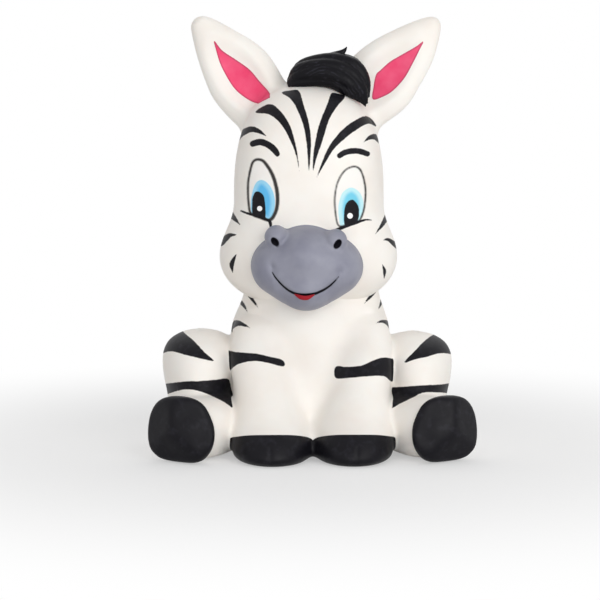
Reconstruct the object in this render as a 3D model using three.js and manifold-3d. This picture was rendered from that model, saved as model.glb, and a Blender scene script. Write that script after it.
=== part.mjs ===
// Squishy zebra toy: a sitting zebra foal moulded in slow-rising foam, with painted hooves and muzzle.
// Millimetres, +Z up, z = 0 is the surface the toy sits on. It faces -Y, so its own left side is +X.

import * as THREE from 'three';
import { mergeVertices } from 'three/addons/utils/BufferGeometryUtils.js';
import Module from 'manifold-3d';

const wasm = await Module();
wasm.setup();

// Fits
const clearance = 0.3; // between neighbouring foam forms
const floorCut = 0.5; // each foam form that stands on the floor is cut flat this deep

// Trunk: heights above the floor
const chestSplit = 30; // where the chest starts above the belly
const neckSeat = 41; // top of the chest, on which the neck sits
const neckCentreY = 3;
const neckRadius = 20.6;
const neckPlugRadius = 14; // plug of the neck in its bowl in the chest
const neckPlugDepth = 3;
const neckPivotHeight = 25; // the head rolls on a dome centred here
const domeRadius = 27;
const trunkCentreX = -0.6;
const bellyWidth = 59;
const bellyDepth = 56;
const bellyCentreY = 8;
const bellyFullHeight = 11; // height of the widest section
const chestWidth = 48.6;
const chestDepth = 40;
const chestCentreY = 4.5;
const shoulderWidth = 46.6;
const shoulderDepth = 39.6;

// Head, measured before it is turned
const headTurn = -4; // degrees about the neck, as moulded
const headWidth = 43.6;
const headDepth = 45;
const headBottom = 38;
const headTop = 104.3;
const headCentreX = -0.6;
const headCentreY = 0.5;
const headSquareness = 2.5; // 2 is an ellipsoid, more is fuller
const cheekWidth = 23;
const cheekRise = 26; // a cheek's full height
const cheekOut = 13.6; // from the head's middle to a cheek's centre
const cheekForward = 5.5;
const cheekHeight = 55.6;

// Muzzle
const muzzleWidth = 30.6;
const muzzleHeight = 21.8;
const muzzleLength = 29;
const muzzleCentreHeight = 55.2;
const muzzleReach = 12; // how far it stands out of the head
const muzzleTaper = 0.12; // narrower at the top by this share
const nostrilSpacing = 17;
const nostrilRise = 5.8; // above the muzzle's middle
const nostrilMoundRadius = 4.4;
const nostrilMoundBack = 6.4; // from the muzzle's front to a mound's centre
const nostrilWidth = 3.4;
const nostrilHeight = 5;
const nostrilDepth = 1.6;
const lipWidth = 20.6;
const lipHeight = 12;
const lipLength = 19;
const lipDrop = 8.4; // from the muzzle's middle down to the lower lip's middle
const tongueWidth = 5.6;
const tongueThickness = 3.2;

// Ears
const earLength = 38;
const earWidth = 17.2;
const earTaper = 0.16; // narrower at the tip than at the root by this share
const earThickness = 9;
const earSplay = 40; // degrees from upright
const earSeatAcross = 14.6; // root, from the head's middle
const earSeatHeight = 99.5;
const earSeatY = 4;
const earFoldBack = 30; // degrees from upright about the root
const earFoldForward = { right: 25, left: 10 }; // the forelock stops the left ear sooner
const earHollowLength = 27;
const earHollowWidth = 11.4;
const earHollowDepth = 3.2;
const earLiningLength = 24;
const earLiningWidth = 8.4;
const earLiningThickness = 1;
const earKnuckleWidth = 14; // the root roll that the ear folds on
const earKnuckleRadius = 4.2;

// Forelock and mane
const lockRise = 8.5; // of the forelock above the crown
const lockRadius = 5.2;
const lockSweep = 13.5; // how far it is combed to the toy's left
const lockForward = 9; // how far its front hangs before the crown
const maneHeight = 6.5; // how far the crest stands off the head
const maneThickness = 7;
const maneTufts = 7;
const maneStart = 30; // degrees behind upright, first tuft on the head
const maneEnd = 108; // degrees behind upright, last tuft on the head

// Forelegs
const foreLegSpacing = 30.2; // between the legs' middles at the knee
const foreLegWidth = 16.4;
const foreLegDepth = 18;
const foreLegTop = 37;
const foreShoulderY = -8;
const foreFootSpacing = 23.4;
const foreFootWidth = 23.4;
const foreFootLength = 30;
const foreFootY = -25.4;
const foreHoofHeight = 7.4;
const foreHoofLength = 18;

// Hind legs
const kneeHeight = [33.8, 32.8]; // top of the thigh: right, left
const kneeOut = [32.4, 29.2]; // knee middle from the toy's middle: right, left
const thighWidth = 22.4;
const thighWaist = 0.86; // its width under the knee, as a share
const thighDepth = 46;
const thighCentreY = 3;
const hindFootTurn = 26; // degrees outwards
const hindFootLength = 26;
const hindFootWidth = 19;
const hindFootHeight = 17.6;
const hindHoofOut = 36.9;
const hindHoofY = -31;
const hindHoofWidth = 21.4;
const hindHoofHeight = 19.4;
const hindHoofThickness = 8;

// Cleft pressed into each hoof
const cleftWidth = 0.9;
const cleftDepth = 1.3;
const cleftHeight = 6;

// Tail
const tailRootHeight = 9;
const tailLength = 9.5;
const tailRadius = 3.4;
const tuftLength = 13;
const tuftRadius = 4;
const tailBallRadius = 4.6; // the tail's root, on which it swings

// Finishes
const foam = { color: 0xf3f0eb, roughness: 0.62, metalness: 0 };
const black = { color: 0x1e1d22, roughness: 0.5, metalness: 0 };
const grey = { color: 0x8e909e, roughness: 0.58, metalness: 0 };
const pink = { color: 0xf04d74, roughness: 0.6, metalness: 0 };
const red = { color: 0xa8202c, roughness: 0.5, metalness: 0 };

const sides = [
  { name: 'right', out: -1, kneeAt: kneeOut[0], kneeTop: kneeHeight[0] },
  { name: 'left', out: 1, kneeAt: kneeOut[1], kneeTop: kneeHeight[1] },
];
const crown = new THREE.Vector3(headCentreX, headCentreY, headTop);
const headMiddle = (headTop + headBottom) / 2;
const headPivot = new THREE.Vector3(0, neckCentreY, neckPivotHeight);
const headFront = headCentreY - headDepth / 2;

// A solid from a closed geometry, for joins and cuts
function solid(geometry) {
  const plain = geometry.clone();
  plain.deleteAttribute('normal');
  plain.deleteAttribute('uv');
  const merged = mergeVertices(plain, 1e-4);
  const vertProperties = new Float32Array(merged.attributes.position.array);
  const triVerts = new Uint32Array(merged.index.array);
  return new wasm.Manifold(new wasm.Mesh({ numProp: 3, vertProperties, triVerts }));
}

// The geometry of a solid
function surface(body) {
  const mesh = body.getMesh();
  const geometry = new THREE.BufferGeometry();
  geometry.setAttribute('position', new THREE.BufferAttribute(new Float32Array(mesh.vertProperties), 3));
  geometry.setIndex(new THREE.BufferAttribute(new Uint32Array(mesh.triVerts), 1));
  geometry.computeVertexNormals();
  return geometry;
}

function turn(x, y, z) {
  const rad = THREE.MathUtils.degToRad;
  return new THREE.Matrix4().makeRotationFromEuler(new THREE.Euler(rad(x), rad(y), rad(z), 'ZYX'));
}

// A superellipsoid: size is its full width, depth and height, power 2 an ellipsoid.
// A taper narrows its top and widens its bottom by that share.
function egg(size, middle, { power = 2, taper = 0, rotation, around = 20, rows = 12 } = {}) {
  const geometry = new THREE.SphereGeometry(1, around, rows);
  geometry.rotateX(Math.PI / 2);
  const at = geometry.attributes.position;
  const v = new THREE.Vector3();
  for (let i = 0; i < at.count; i++) {
    v.fromBufferAttribute(at, i);
    const sum = Math.abs(v.x) ** power + Math.abs(v.y) ** power + Math.abs(v.z) ** power;
    v.multiplyScalar(sum ** (-1 / power));
    v.x *= 1 - taper * v.z;
    v.multiply(size).divideScalar(2);
    at.setXYZ(i, v.x, v.y, v.z);
  }
  if (rotation) geometry.applyMatrix4(rotation);
  geometry.translate(middle.x, middle.y, middle.z);
  return solid(geometry);
}

// A closed body over rings of equally many points, counter-clockwise seen from the last ring
function skin(rings) {
  const count = rings[0].length;
  const positions = [];
  const index = [];
  for (const ring of rings) {
    for (const p of ring) positions.push(p.x, p.y, p.z);
  }
  for (let r = 0; r + 1 < rings.length; r++) {
    for (let i = 0; i < count; i++) {
      const a = r * count + i;
      const b = r * count + ((i + 1) % count);
      index.push(a, b, b + count, a, b + count, a + count);
    }
  }
  for (const [ring, first] of [[rings[0], true], [rings.at(-1), false]]) {
    const middle = ring.reduce((sum, p) => sum.add(p), new THREE.Vector3()).divideScalar(count);
    const pole = positions.length / 3;
    positions.push(middle.x, middle.y, middle.z);
    const start = first ? 0 : (rings.length - 1) * count;
    for (let i = 0; i < count; i++) {
      const a = start + i;
      const b = start + ((i + 1) % count);
      index.push(pole, first ? b : a, first ? a : b);
    }
  }
  const geometry = new THREE.BufferGeometry();
  geometry.setAttribute('position', new THREE.Float32BufferAttribute(positions, 3));
  geometry.setIndex(index);
  return geometry;
}

// Level elliptical sections from the floor up: each is { z, x, y, width, depth }, smoothed between.
// The top closes as a dome of the given height.
function column(sections, dome, { grow = 0, around = 24, steps = 2 } = {}) {
  const at = new THREE.CatmullRomCurve3(sections.map((s) => new THREE.Vector3(s.x, s.y, s.z)));
  const size = new THREE.CatmullRomCurve3(sections.map((s) => new THREE.Vector3(s.width, s.depth, 0)));
  const rows = (sections.length - 1) * steps;
  const rings = [];
  const ring = (middle, width, depth) => {
    const points = [];
    for (let i = 0; i < around; i++) {
      const angle = (i / around) * 2 * Math.PI;
      const x = middle.x + (width / 2 + grow) * Math.cos(angle);
      const y = middle.y + (depth / 2 + grow) * Math.sin(angle);
      points.push(new THREE.Vector3(x, y, middle.z));
    }
    rings.push(points);
  };
  for (let row = 0; row <= rows; row++) {
    const middle = at.getPoint(row / rows);
    const full = size.getPoint(row / rows);
    ring(middle, full.x, full.y);
  }
  const top = sections.at(-1);
  for (const angle of [30, 55, 75]) {
    const lift = Math.sin(THREE.MathUtils.degToRad(angle));
    const shrink = Math.cos(THREE.MathUtils.degToRad(angle));
    const middle = new THREE.Vector3(top.x, top.y, top.z + (dome + grow) * lift);
    ring(middle, top.width * shrink, top.depth * shrink);
  }
  return solid(skin(rings));
}

// A round or oval rod along a curve, its radius given at each point, with rounded ends
function rod(points, radii, { flat = 1, around = 10, steps = 8 } = {}) {
  const curve = new THREE.CatmullRomCurve3(points);
  const spread = new THREE.CatmullRomCurve3(radii.map((r) => new THREE.Vector3(r, 0, 0)));
  const rings = [];
  const ring = (middle, along, radius) => {
    const across = new THREE.Vector3(0, 0, 1).cross(along);
    if (across.length() < 0.2) across.set(1, 0, 0);
    across.addScaledVector(along, -across.dot(along)).normalize();
    const up = along.clone().cross(across);
    const circle = [];
    for (let i = 0; i < around; i++) {
      const angle = (i / around) * 2 * Math.PI;
      const p = middle.clone().addScaledVector(across, radius * Math.cos(angle));
      circle.push(p.addScaledVector(up, radius * flat * Math.sin(angle)));
    }
    rings.push(circle);
  };
  for (let row = 0; row <= steps; row++) {
    const t = row / steps;
    const along = curve.getTangent(t);
    const middle = curve.getPoint(t);
    const radius = spread.getPoint(t).x;
    if (row === 0) ring(middle.clone().addScaledVector(along, -radius * 0.7), along, radius * 0.6);
    ring(middle, along, radius);
    if (row === steps) ring(middle.clone().addScaledVector(along, radius * 0.7), along, radius * 0.6);
  }
  return solid(skin(rings));
}

// A block between two corners, used only to cut
function block(low, high) {
  const size = new THREE.Vector3().subVectors(high, low);
  const geometry = new THREE.BoxGeometry(size.x, size.y, size.z);
  geometry.translate((low.x + high.x) / 2, (low.y + high.y) / 2, (low.z + high.z) / 2);
  return solid(geometry);
}

const far = 200; // past every side of the toy
function below(z) {
  return block(new THREE.Vector3(-far, -far, -far), new THREE.Vector3(far, far, z));
}
function above(z) {
  return block(new THREE.Vector3(-far, -far, z), new THREE.Vector3(far, far, far));
}
const underFloor = below(0);

// The trunk from rump to neck, before it is parted into belly and chest
function trunk(grow = 0) {
  const rise = chestSplit - bellyFullHeight;
  const section = (z, y, width, depth) => ({ z, x: trunkCentreX, y, width, depth });
  const sections = [
    section(-floorCut, bellyCentreY, bellyWidth * 0.84, bellyDepth * 0.86),
    section(bellyFullHeight * 0.4, bellyCentreY, bellyWidth * 0.97, bellyDepth * 0.98),
    section(bellyFullHeight, bellyCentreY, bellyWidth, bellyDepth),
    section(bellyFullHeight + rise / 2, bellyCentreY * 0.85, bellyWidth * 0.93, bellyDepth * 0.92),
    section(chestSplit, chestCentreY, chestWidth, chestDepth),
    section((chestSplit + neckSeat) / 2, neckCentreY, shoulderWidth, shoulderDepth),
    { z: neckSeat, x: 0, y: neckCentreY, width: neckRadius * 2, depth: neckRadius * 2 },
  ];
  return column(sections, 4, { grow, around: 24 });
}

function dome(radius) {
  return egg(new THREE.Vector3(1, 1, 1).multiplyScalar(radius * 2), headPivot, { around: 28, rows: 18 });
}

function neckBowl(grow = 0) {
  const low = neckSeat - neckPlugDepth - grow;
  const geometry = new THREE.CylinderGeometry(neckPlugRadius + grow, neckPlugRadius + grow, far, 24);
  geometry.rotateX(Math.PI / 2);
  geometry.translate(0, neckCentreY, low + far / 2);
  return solid(geometry);
}

// The neck: a round column with a domed top that the head rolls on
function neckBody() {
  const turned = new THREE.CylinderGeometry(neckRadius, neckRadius, far, 28);
  turned.rotateX(Math.PI / 2);
  turned.translate(0, neckCentreY, neckSeat + clearance + far / 2);
  const plug = neckBowl().intersect(below(neckSeat + 1));
  return solid(turned).add(plug).intersect(dome(domeRadius));
}

// The head before anything is cut from it
function headForm(grow = 0) {
  const size = new THREE.Vector3(headWidth, headDepth, headTop - headBottom).addScalar(2 * grow);
  const middle = new THREE.Vector3(headCentreX, headCentreY, headMiddle);
  let form = egg(size, middle, { power: headSquareness, around: 24, rows: 16 });
  for (const { out } of sides) {
    const cheek = new THREE.Vector3(cheekWidth, cheekWidth, cheekRise).addScalar(2 * grow);
    const at = new THREE.Vector3(headCentreX + out * cheekOut, headCentreY - cheekForward, cheekHeight);
    form = form.add(egg(cheek, at, { around: 14, rows: 10 }));
  }
  return form;
}

const muzzleFront = headFront - muzzleReach;
const muzzleMiddle = new THREE.Vector3(headCentreX, muzzleFront + muzzleLength / 2, muzzleCentreHeight);

function nostrilPlace(out) {
  const across = headCentreX + (out * nostrilSpacing) / 2;
  return new THREE.Vector3(across, muzzleFront + nostrilMoundBack, muzzleCentreHeight + nostrilRise);
}

function muzzleForm(grow = 0) {
  const size = new THREE.Vector3(muzzleWidth, muzzleLength, muzzleHeight).addScalar(2 * grow);
  let form = egg(size, muzzleMiddle, { power: 2.1, taper: muzzleTaper, around: 18, rows: 10 });
  for (const { out } of sides) {
    const mound = new THREE.Vector3(1.08, 1, 0.95).multiplyScalar(2 * (nostrilMoundRadius + grow));
    form = form.add(egg(mound, nostrilPlace(out), { around: 10, rows: 6 }));
  }
  return form;
}

function muzzleBody() {
  let body = muzzleForm();
  for (const { out } of sides) {
    const size = new THREE.Vector3(nostrilWidth, nostrilDepth * 2, nostrilHeight);
    const at = nostrilPlace(out);
    at.y -= nostrilMoundRadius;
    body = body.subtract(egg(size, at, { rotation: turn(0, out * 24, 0), around: 8, rows: 6 }));
  }
  return body.subtract(headForm(clearance));
}

function lipForm(grow = 0) {
  const size = new THREE.Vector3(lipWidth, lipLength, lipHeight).addScalar(2 * grow);
  const at = muzzleMiddle.clone();
  at.z -= lipDrop;
  at.y = headFront - muzzleReach * 0.75 + lipLength / 2;
  return egg(size, at, { around: 16, rows: 8 });
}

function tongueBody() {
  const size = new THREE.Vector3(tongueWidth, 5, tongueThickness);
  const z = muzzleCentreHeight - lipDrop + lipHeight * 0.02;
  const y = headFront - muzzleReach * 0.75 + 0.6;
  return egg(size, new THREE.Vector3(headCentreX, y, z), { around: 8, rows: 6 });
}

// An ear stands along its own Z axis from its root, hollow towards -Y, and is then leant outwards.
// It folds about its own X axis, through the root.
function earPlace(out) {
  const seat = new THREE.Vector3(headCentreX + out * earSeatAcross, earSeatY, earSeatHeight);
  return turn(0, out * earSplay, 0).setPosition(seat);
}

function leanEar(out, body) {
  const geometry = surface(body);
  geometry.applyMatrix4(earPlace(out));
  return solid(geometry);
}

function earLeaf() {
  const size = new THREE.Vector3(earWidth, earThickness, earLength);
  const at = new THREE.Vector3(0, 0, earLength * 0.31);
  return egg(size, at, { power: 1.85, taper: earTaper, around: 16, rows: 12 });
}

function earHollow(inset = 0) {
  const size = new THREE.Vector3(earHollowWidth, earHollowDepth * 2, earHollowLength).addScalar(-2 * inset);
  const at = new THREE.Vector3(0, -earThickness / 2 + 0.8, earLength * 0.34);
  return egg(size, at, { around: 10, rows: 8 });
}

// The roll at an ear's root, round about the fold axis
function earKnuckle({ out }, grow = 0) {
  const round = 2 * (earKnuckleRadius + grow);
  const size = new THREE.Vector3(earKnuckleWidth + 2 * grow, round, round);
  return leanEar(out, egg(size, new THREE.Vector3(), { around: 12, rows: 8 }));
}

// The head as the ear meets it at an angle of fold, so that the ear is cut clear of it there
function headMetAt({ out }, degrees) {
  const place = earPlace(out);
  const fold = place.clone().multiply(turn(-degrees, 0, 0)).multiply(place.clone().invert());
  const geometry = surface(headForm(clearance));
  geometry.applyMatrix4(fold);
  return solid(geometry);
}

function clearOfHead(side, body) {
  const angles = [-earFoldBack, 0, earFoldForward[side.name]];
  return angles.reduce((left, degrees) => left.subtract(headMetAt(side, degrees)), body);
}

function earBody(side) {
  const shell = clearOfHead(side, leanEar(side.out, earLeaf()));
  return shell.add(earKnuckle(side)).subtract(leanEar(side.out, earHollow()));
}

// The painted lining: a thin leaf on the back wall of the hollow, a little to the outer side
function earLining(side) {
  const opened = surface(earHollow(clearance));
  opened.translate(0, -earLiningThickness, 0);
  const size = new THREE.Vector3(earLiningWidth, earThickness * 2, earLiningLength);
  const at = new THREE.Vector3(side.out * 0.6, 0, earLiningLength * 0.44);
  const outline = egg(size, at, { power: 1.8, around: 10, rows: 6 }).intersect(earLeaf());
  const lining = earHollow(clearance).subtract(solid(opened)).intersect(outline);
  return clearOfHead(side, leanEar(side.out, lining)).subtract(earKnuckle(side, clearance));
}

// Combed locks on the crown, all swept to the toy's left and in front of the ears.
// Their points are shares of the sweep, the forward reach and the rise, from the crown.
function forelockForm(grow = 0) {
  const size = new THREE.Vector3(lockSweep, -lockForward, lockRise);
  const at = (x, y, z) => new THREE.Vector3(x, y, z).multiply(size).add(crown);
  const locks = [
    [at(-0.15, 0.57, 0), at(0.08, 0.79, 0.3), at(0.6, 0.93, 0.24), at(0.9, 1, -0.7)],
    [at(-0.08, 0.29, 0.24), at(0.3, 0.43, 0.6), at(0.82, 0.64, 0.42), at(1.15, 0.71, -0.48)],
    [at(-0.08, -0.07, 0.24), at(0.22, 0.07, 0.6), at(0.6, 0.29, 0.6), at(0.95, 0.5, 0.12)],
  ];
  const radii = [0.9, 1, 0.85, 0.35].map((share) => lockRadius * share + grow);
  const rods = locks.map((points) => rod(points, radii, { around: 8, steps: 6 }));
  return rods.reduce((body, lock) => body.add(lock));
}

// Tufts standing in a row over the back of the head, each raked towards the next
function headManeBody() {
  const step = (maneEnd - maneStart) / (maneTufts - 1);
  let body;
  for (let i = 0; i < maneTufts; i++) {
    const degrees = maneStart + step * i;
    const angle = THREE.MathUtils.degToRad(degrees);
    const sum = Math.sin(angle) ** headSquareness + Math.abs(Math.cos(angle)) ** headSquareness;
    const bulge = sum ** (-1 / headSquareness);
    const at = new THREE.Vector3(headCentreX, headCentreY, headMiddle);
    at.y += (headDepth / 2) * Math.sin(angle) * bulge;
    at.z += ((headTop - headBottom) / 2) * Math.cos(angle) * bulge;
    const spacing = (THREE.MathUtils.degToRad(step) * (headDepth + headTop - headBottom)) / 4;
    const size = new THREE.Vector3(maneThickness, spacing * 2.2, maneHeight * 2);
    const tuft = egg(size, at, { rotation: turn(-degrees - 22, 0, 0), around: 8, rows: 8 });
    body = body ? body.add(tuft) : tuft;
  }
  return body.subtract(headForm(clearance)).subtract(forelockForm(clearance));
}

function foreLegForm(side, grow = 0) {
  const knee = side.out * (foreLegSpacing / 2) + trunkCentreX;
  const foot = side.out * (foreFootSpacing / 2);
  const at = (z, x, y, width, depth) => ({ z, x, y, width, depth });
  const ankle = foreHoofHeight * 1.95;
  const sections = [
    at(-floorCut, foot, foreFootY, foreFootWidth * 0.9, foreFootLength * 0.92),
    at(foreHoofHeight * 0.5, foot, foreFootY, foreFootWidth, foreFootLength),
    at(foreHoofHeight + 1.5, foot * 1.04, foreFootY * 0.9, foreFootWidth * 0.87, foreFootLength * 0.82),
    at(ankle, knee * 0.89, foreFootY * 0.74, foreLegWidth * 1.13, foreLegDepth * 1.1),
    at((ankle + foreLegTop) / 2, knee, (foreShoulderY + foreFootY * 0.6) / 2, foreLegWidth, foreLegDepth),
    at(foreLegTop - 6, knee * 1.02, foreShoulderY, foreLegWidth * 0.96, foreLegDepth * 0.95),
  ];
  return column(sections, 6, { grow, around: 18 });
}

// Everything on the other side of the toy's middle
function farHalf(out) {
  const low = new THREE.Vector3(out > 0 ? -far : -clearance / 2, -far, -far);
  const high = new THREE.Vector3(out > 0 ? clearance / 2 : far, far, far);
  return block(low, high);
}

// The painted front of a fore foot: past its heel line and under its top line
function foreHoofZone(grow = 0) {
  const heel = foreFootY - foreFootLength / 2 + foreHoofLength;
  const high = new THREE.Vector3(far, heel + grow, foreHoofHeight + grow);
  return block(new THREE.Vector3(-far, -far, -far), high);
}

function cleft(middle, rotation) {
  const geometry = new THREE.BoxGeometry(cleftWidth, cleftDepth * 2, cleftHeight);
  if (rotation) geometry.applyMatrix4(rotation);
  geometry.translate(middle.x, middle.y, middle.z);
  return solid(geometry);
}

function thighForm(side, grow = 0) {
  const at = (z, shift, y, width, depth) => ({ z, x: side.out * (side.kneeAt + shift), y, width, depth });
  const y = thighCentreY;
  const top = side.kneeTop;
  const waist = thighWidth * thighWaist;
  const sections = [
    at(-floorCut, -1, y + 1, waist, thighDepth * 0.86),
    at(top * 0.2, -0.4, y + 1, waist * 1.02, thighDepth * 0.98),
    at(top * 0.43, 0, y, waist, thighDepth * 0.98),
    at(top * 0.7, 0, y - 2, thighWidth, thighDepth * 0.86),
    at(top * 0.85, 0, y - 3.4, thighWidth * 0.93, thighDepth * 0.7),
  ];
  return column(sections, top * 0.15, { grow, around: 18 });
}

// A hind foot runs along its own -Y axis, turned outwards, with its hoof at the front end
function hindFootPlace(side) {
  const across = trunkCentreX + side.out * hindHoofOut;
  const at = new THREE.Vector3(across, hindHoofY, hindHoofHeight / 2 - floorCut);
  return turn(0, 0, side.out * hindFootTurn).setPosition(at);
}

function inHindFoot(side, body) {
  const geometry = surface(body);
  geometry.applyMatrix4(hindFootPlace(side));
  return solid(geometry);
}

function hindFootForm(side) {
  const size = new THREE.Vector3(hindFootWidth, hindFootLength * 1.3, hindFootHeight);
  const drop = (hindHoofHeight - hindFootHeight) / 2;
  const at = new THREE.Vector3(-side.out * 1.5, hindFootLength * 0.5, -drop);
  return inHindFoot(side, egg(size, at, { power: 2.4, around: 14, rows: 8 }));
}

function hindHoofForm(side, grow = 0) {
  const size = new THREE.Vector3(hindHoofWidth, hindHoofThickness, hindHoofHeight).addScalar(2 * grow);
  const form = egg(size, new THREE.Vector3(), { power: 2.3, around: 18, rows: 10 });
  return inHindFoot(side, form);
}

function hindHoofBody(side) {
  const groove = cleft(new THREE.Vector3(0, -hindHoofThickness / 2 + 0.4, hindHoofHeight * 0.26));
  return hindHoofForm(side).subtract(inHindFoot(side, groove)).subtract(underFloor);
}

const tailRoot = new THREE.Vector3(trunkCentreX, bellyCentreY + bellyDepth / 2 - 2, tailRootHeight);

function tailBall(grow = 0) {
  const round = 2 * (tailBallRadius + grow);
  return egg(new THREE.Vector3(round, round, round), tailRoot, { around: 14, rows: 8 });
}

function tailForm() {
  const at = (back, drop) => new THREE.Vector3(tailRoot.x, tailRoot.y + back, tailRoot.z - drop);
  const points = [at(1, 0), at(tailLength * 0.5, 0.6), at(tailLength, 3)];
  const rope = rod(points, [tailRadius * 1.1, tailRadius, tailRadius * 0.85], { around: 10, steps: 4 });
  return rope.subtract(trunk(clearance)).add(tailBall());
}

function tuftForm(grow = 0) {
  const size = new THREE.Vector3(tuftRadius * 2, tuftLength, tuftRadius * 2).addScalar(2 * grow);
  const at = new THREE.Vector3(tailRoot.x, tailRoot.y + tailLength + tuftLength * 0.25, tuftRadius + 0.8);
  return egg(size, at, { rotation: turn(24, 0, 0), around: 14, rows: 8 });
}

const toy = new THREE.Group();
const headUpright = new THREE.Group(); // holds the head's parts as they were before the turn
headUpright.position.copy(headPivot).negate();
const headTurned = new THREE.Group();
headTurned.position.copy(headPivot);
headTurned.rotation.z = THREE.MathUtils.degToRad(headTurn);
headTurned.add(headUpright);
toy.add(headTurned);

function place(name, body, finish, group = toy) {
  const mesh = new THREE.Mesh(surface(body), new THREE.MeshStandardMaterial(finish));
  mesh.name = name;
  group.add(mesh);
}

const trunkBody = trunk().subtract(underFloor);
const bellyBody = trunkBody.intersect(below(chestSplit - clearance / 2));
place('belly', bellyBody.subtract(tailBall(clearance)), foam);
const chestTop = trunkBody.intersect(above(chestSplit + clearance / 2)).intersect(below(neckSeat));
place('chest', chestTop.subtract(neckBowl(clearance)), foam);
place('neck', neckBody(), foam);

const trunkCut = trunk(clearance);
for (const side of sides) {
  const leg = foreLegForm(side).subtract(trunkCut).subtract(farHalf(side.out)).subtract(underFloor);
  const toe = foreFootY - foreFootLength / 2;
  const groove = new THREE.Vector3((side.out * foreFootSpacing) / 2, toe + 0.4, 0);
  place(`${side.name}_foreleg`, leg.subtract(foreHoofZone(clearance)), foam);
  place(`${side.name}_fore_hoof`, leg.intersect(foreHoofZone()).subtract(cleft(groove)), black);
  const thigh = thighForm(side).subtract(trunkCut).subtract(foreLegForm(side, clearance));
  place(`${side.name}_thigh`, thigh.subtract(underFloor), foam);
  const foot = hindFootForm(side).subtract(hindHoofForm(side, clearance)).subtract(trunkCut);
  const clear = foot.subtract(thighForm(side, clearance)).subtract(foreLegForm(side, clearance));
  place(`${side.name}_hind_foot`, clear.subtract(underFloor), foam);
  place(`${side.name}_hind_hoof`, hindHoofBody(side), black);
}

place('tail', tailForm().subtract(tuftForm(clearance)), foam);
place('tail_tuft', tuftForm(), black);

let head = headForm().subtract(dome(domeRadius + clearance));
for (const side of sides) head = head.subtract(earKnuckle(side, clearance));
place('head', head, foam, headUpright);
place('muzzle', muzzleBody(), grey, headUpright);
const muzzleCut = muzzleForm(clearance);
const headCut = headForm(clearance);
const lip = lipForm().subtract(muzzleCut).subtract(headCut).subtract(dome(domeRadius + clearance));
place('lower_lip', lip, grey, headUpright);
place('tongue', tongueBody().subtract(muzzleCut).subtract(lipForm(clearance)), red, headUpright);
place('forelock', forelockForm().subtract(headCut), black, headUpright);
place('head_mane', headManeBody(), black, headUpright);
for (const side of sides) {
  place(`${side.name}_ear`, earBody(side), foam, headUpright);
  place(`${side.name}_ear_lining`, earLining(side), pink, headUpright);
}

export default toy;
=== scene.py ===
# Squishy zebra toy: a sitting foal of slow-rising foam, its stripes, hooves, hair and face painted by hand.
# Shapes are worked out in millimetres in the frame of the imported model, and pieces are made in metres.
import math
import bpy
import numpy as np
import openvdb
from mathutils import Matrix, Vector


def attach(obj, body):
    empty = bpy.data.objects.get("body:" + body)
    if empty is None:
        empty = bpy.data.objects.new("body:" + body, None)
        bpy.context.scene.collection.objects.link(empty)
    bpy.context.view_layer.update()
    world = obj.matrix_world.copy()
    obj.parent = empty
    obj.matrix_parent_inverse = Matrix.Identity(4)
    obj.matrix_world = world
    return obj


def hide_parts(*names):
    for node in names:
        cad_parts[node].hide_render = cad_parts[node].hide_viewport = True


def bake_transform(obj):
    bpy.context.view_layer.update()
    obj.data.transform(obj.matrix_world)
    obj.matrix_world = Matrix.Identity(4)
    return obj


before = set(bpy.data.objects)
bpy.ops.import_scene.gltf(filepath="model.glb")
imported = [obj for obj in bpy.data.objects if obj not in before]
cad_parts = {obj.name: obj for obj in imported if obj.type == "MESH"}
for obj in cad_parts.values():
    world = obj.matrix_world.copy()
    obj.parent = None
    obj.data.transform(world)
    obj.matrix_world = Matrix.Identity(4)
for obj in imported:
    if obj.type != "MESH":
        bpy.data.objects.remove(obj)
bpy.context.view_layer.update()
scene = bpy.context.scene
mm = 0.001
farOff = 99.0  # mm; stands for any distance too large to matter

camera = {
    "eye": (-14.5, -616.5, 106.9),
    "aim": (-3.7, 0.0, 42.1),
    "lens": 128.3,  # on a 36 mm sensor
}


def makeCamera():
    data = bpy.data.cameras.new("photoCamera")
    data.lens = camera["lens"]
    data.clip_start = 0.01
    data.clip_end = 20
    eye = bpy.data.objects.new("photoCamera", data)
    eye.location = Vector(camera["eye"]) * mm
    look = Vector(camera["aim"]) - Vector(camera["eye"])
    eye.rotation_euler = look.to_track_quat("-Z", "Y").to_euler()
    scene.collection.objects.link(eye)
    scene.camera = eye


makeCamera()
print("camera placed")

# Shape helpers: each takes points, one per row, and gives about how far outside the shape each one is


def lengths(vectors):
    return np.sqrt(np.einsum("ij,ij->i", vectors, vectors))


def egg(points, middle, half, power=2.0):
    q = np.abs(points - np.array(middle)) / np.array(half) + 1e-6
    reach = (q ** power).sum(1) ** (1 / power)
    slope = lengths(q ** (power - 1) / np.array(half)) * reach ** (1 - power)
    return (reach - 1) / slope


def smoothRows(rows, count):
    # a Catmull-Rom curve through the rows, at evenly spaced parameters
    rows = np.array(rows, float)
    ends = np.vstack([2 * rows[0] - rows[1], rows, 2 * rows[-1] - rows[-2]])
    t = np.linspace(0, len(rows) - 1, count)
    i = np.minimum(t.astype(int), len(rows) - 2)
    u = (t - i)[:, None]
    a, b, c, d = ends[i], ends[i + 1], ends[i + 2], ends[i + 3]
    curved = (2 * a - 5 * b + 4 * c - d) * u ** 2 + (3 * b - a - 3 * c + d) * u ** 3
    return 0.5 * (2 * b + (c - a) * u + curved)


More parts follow.
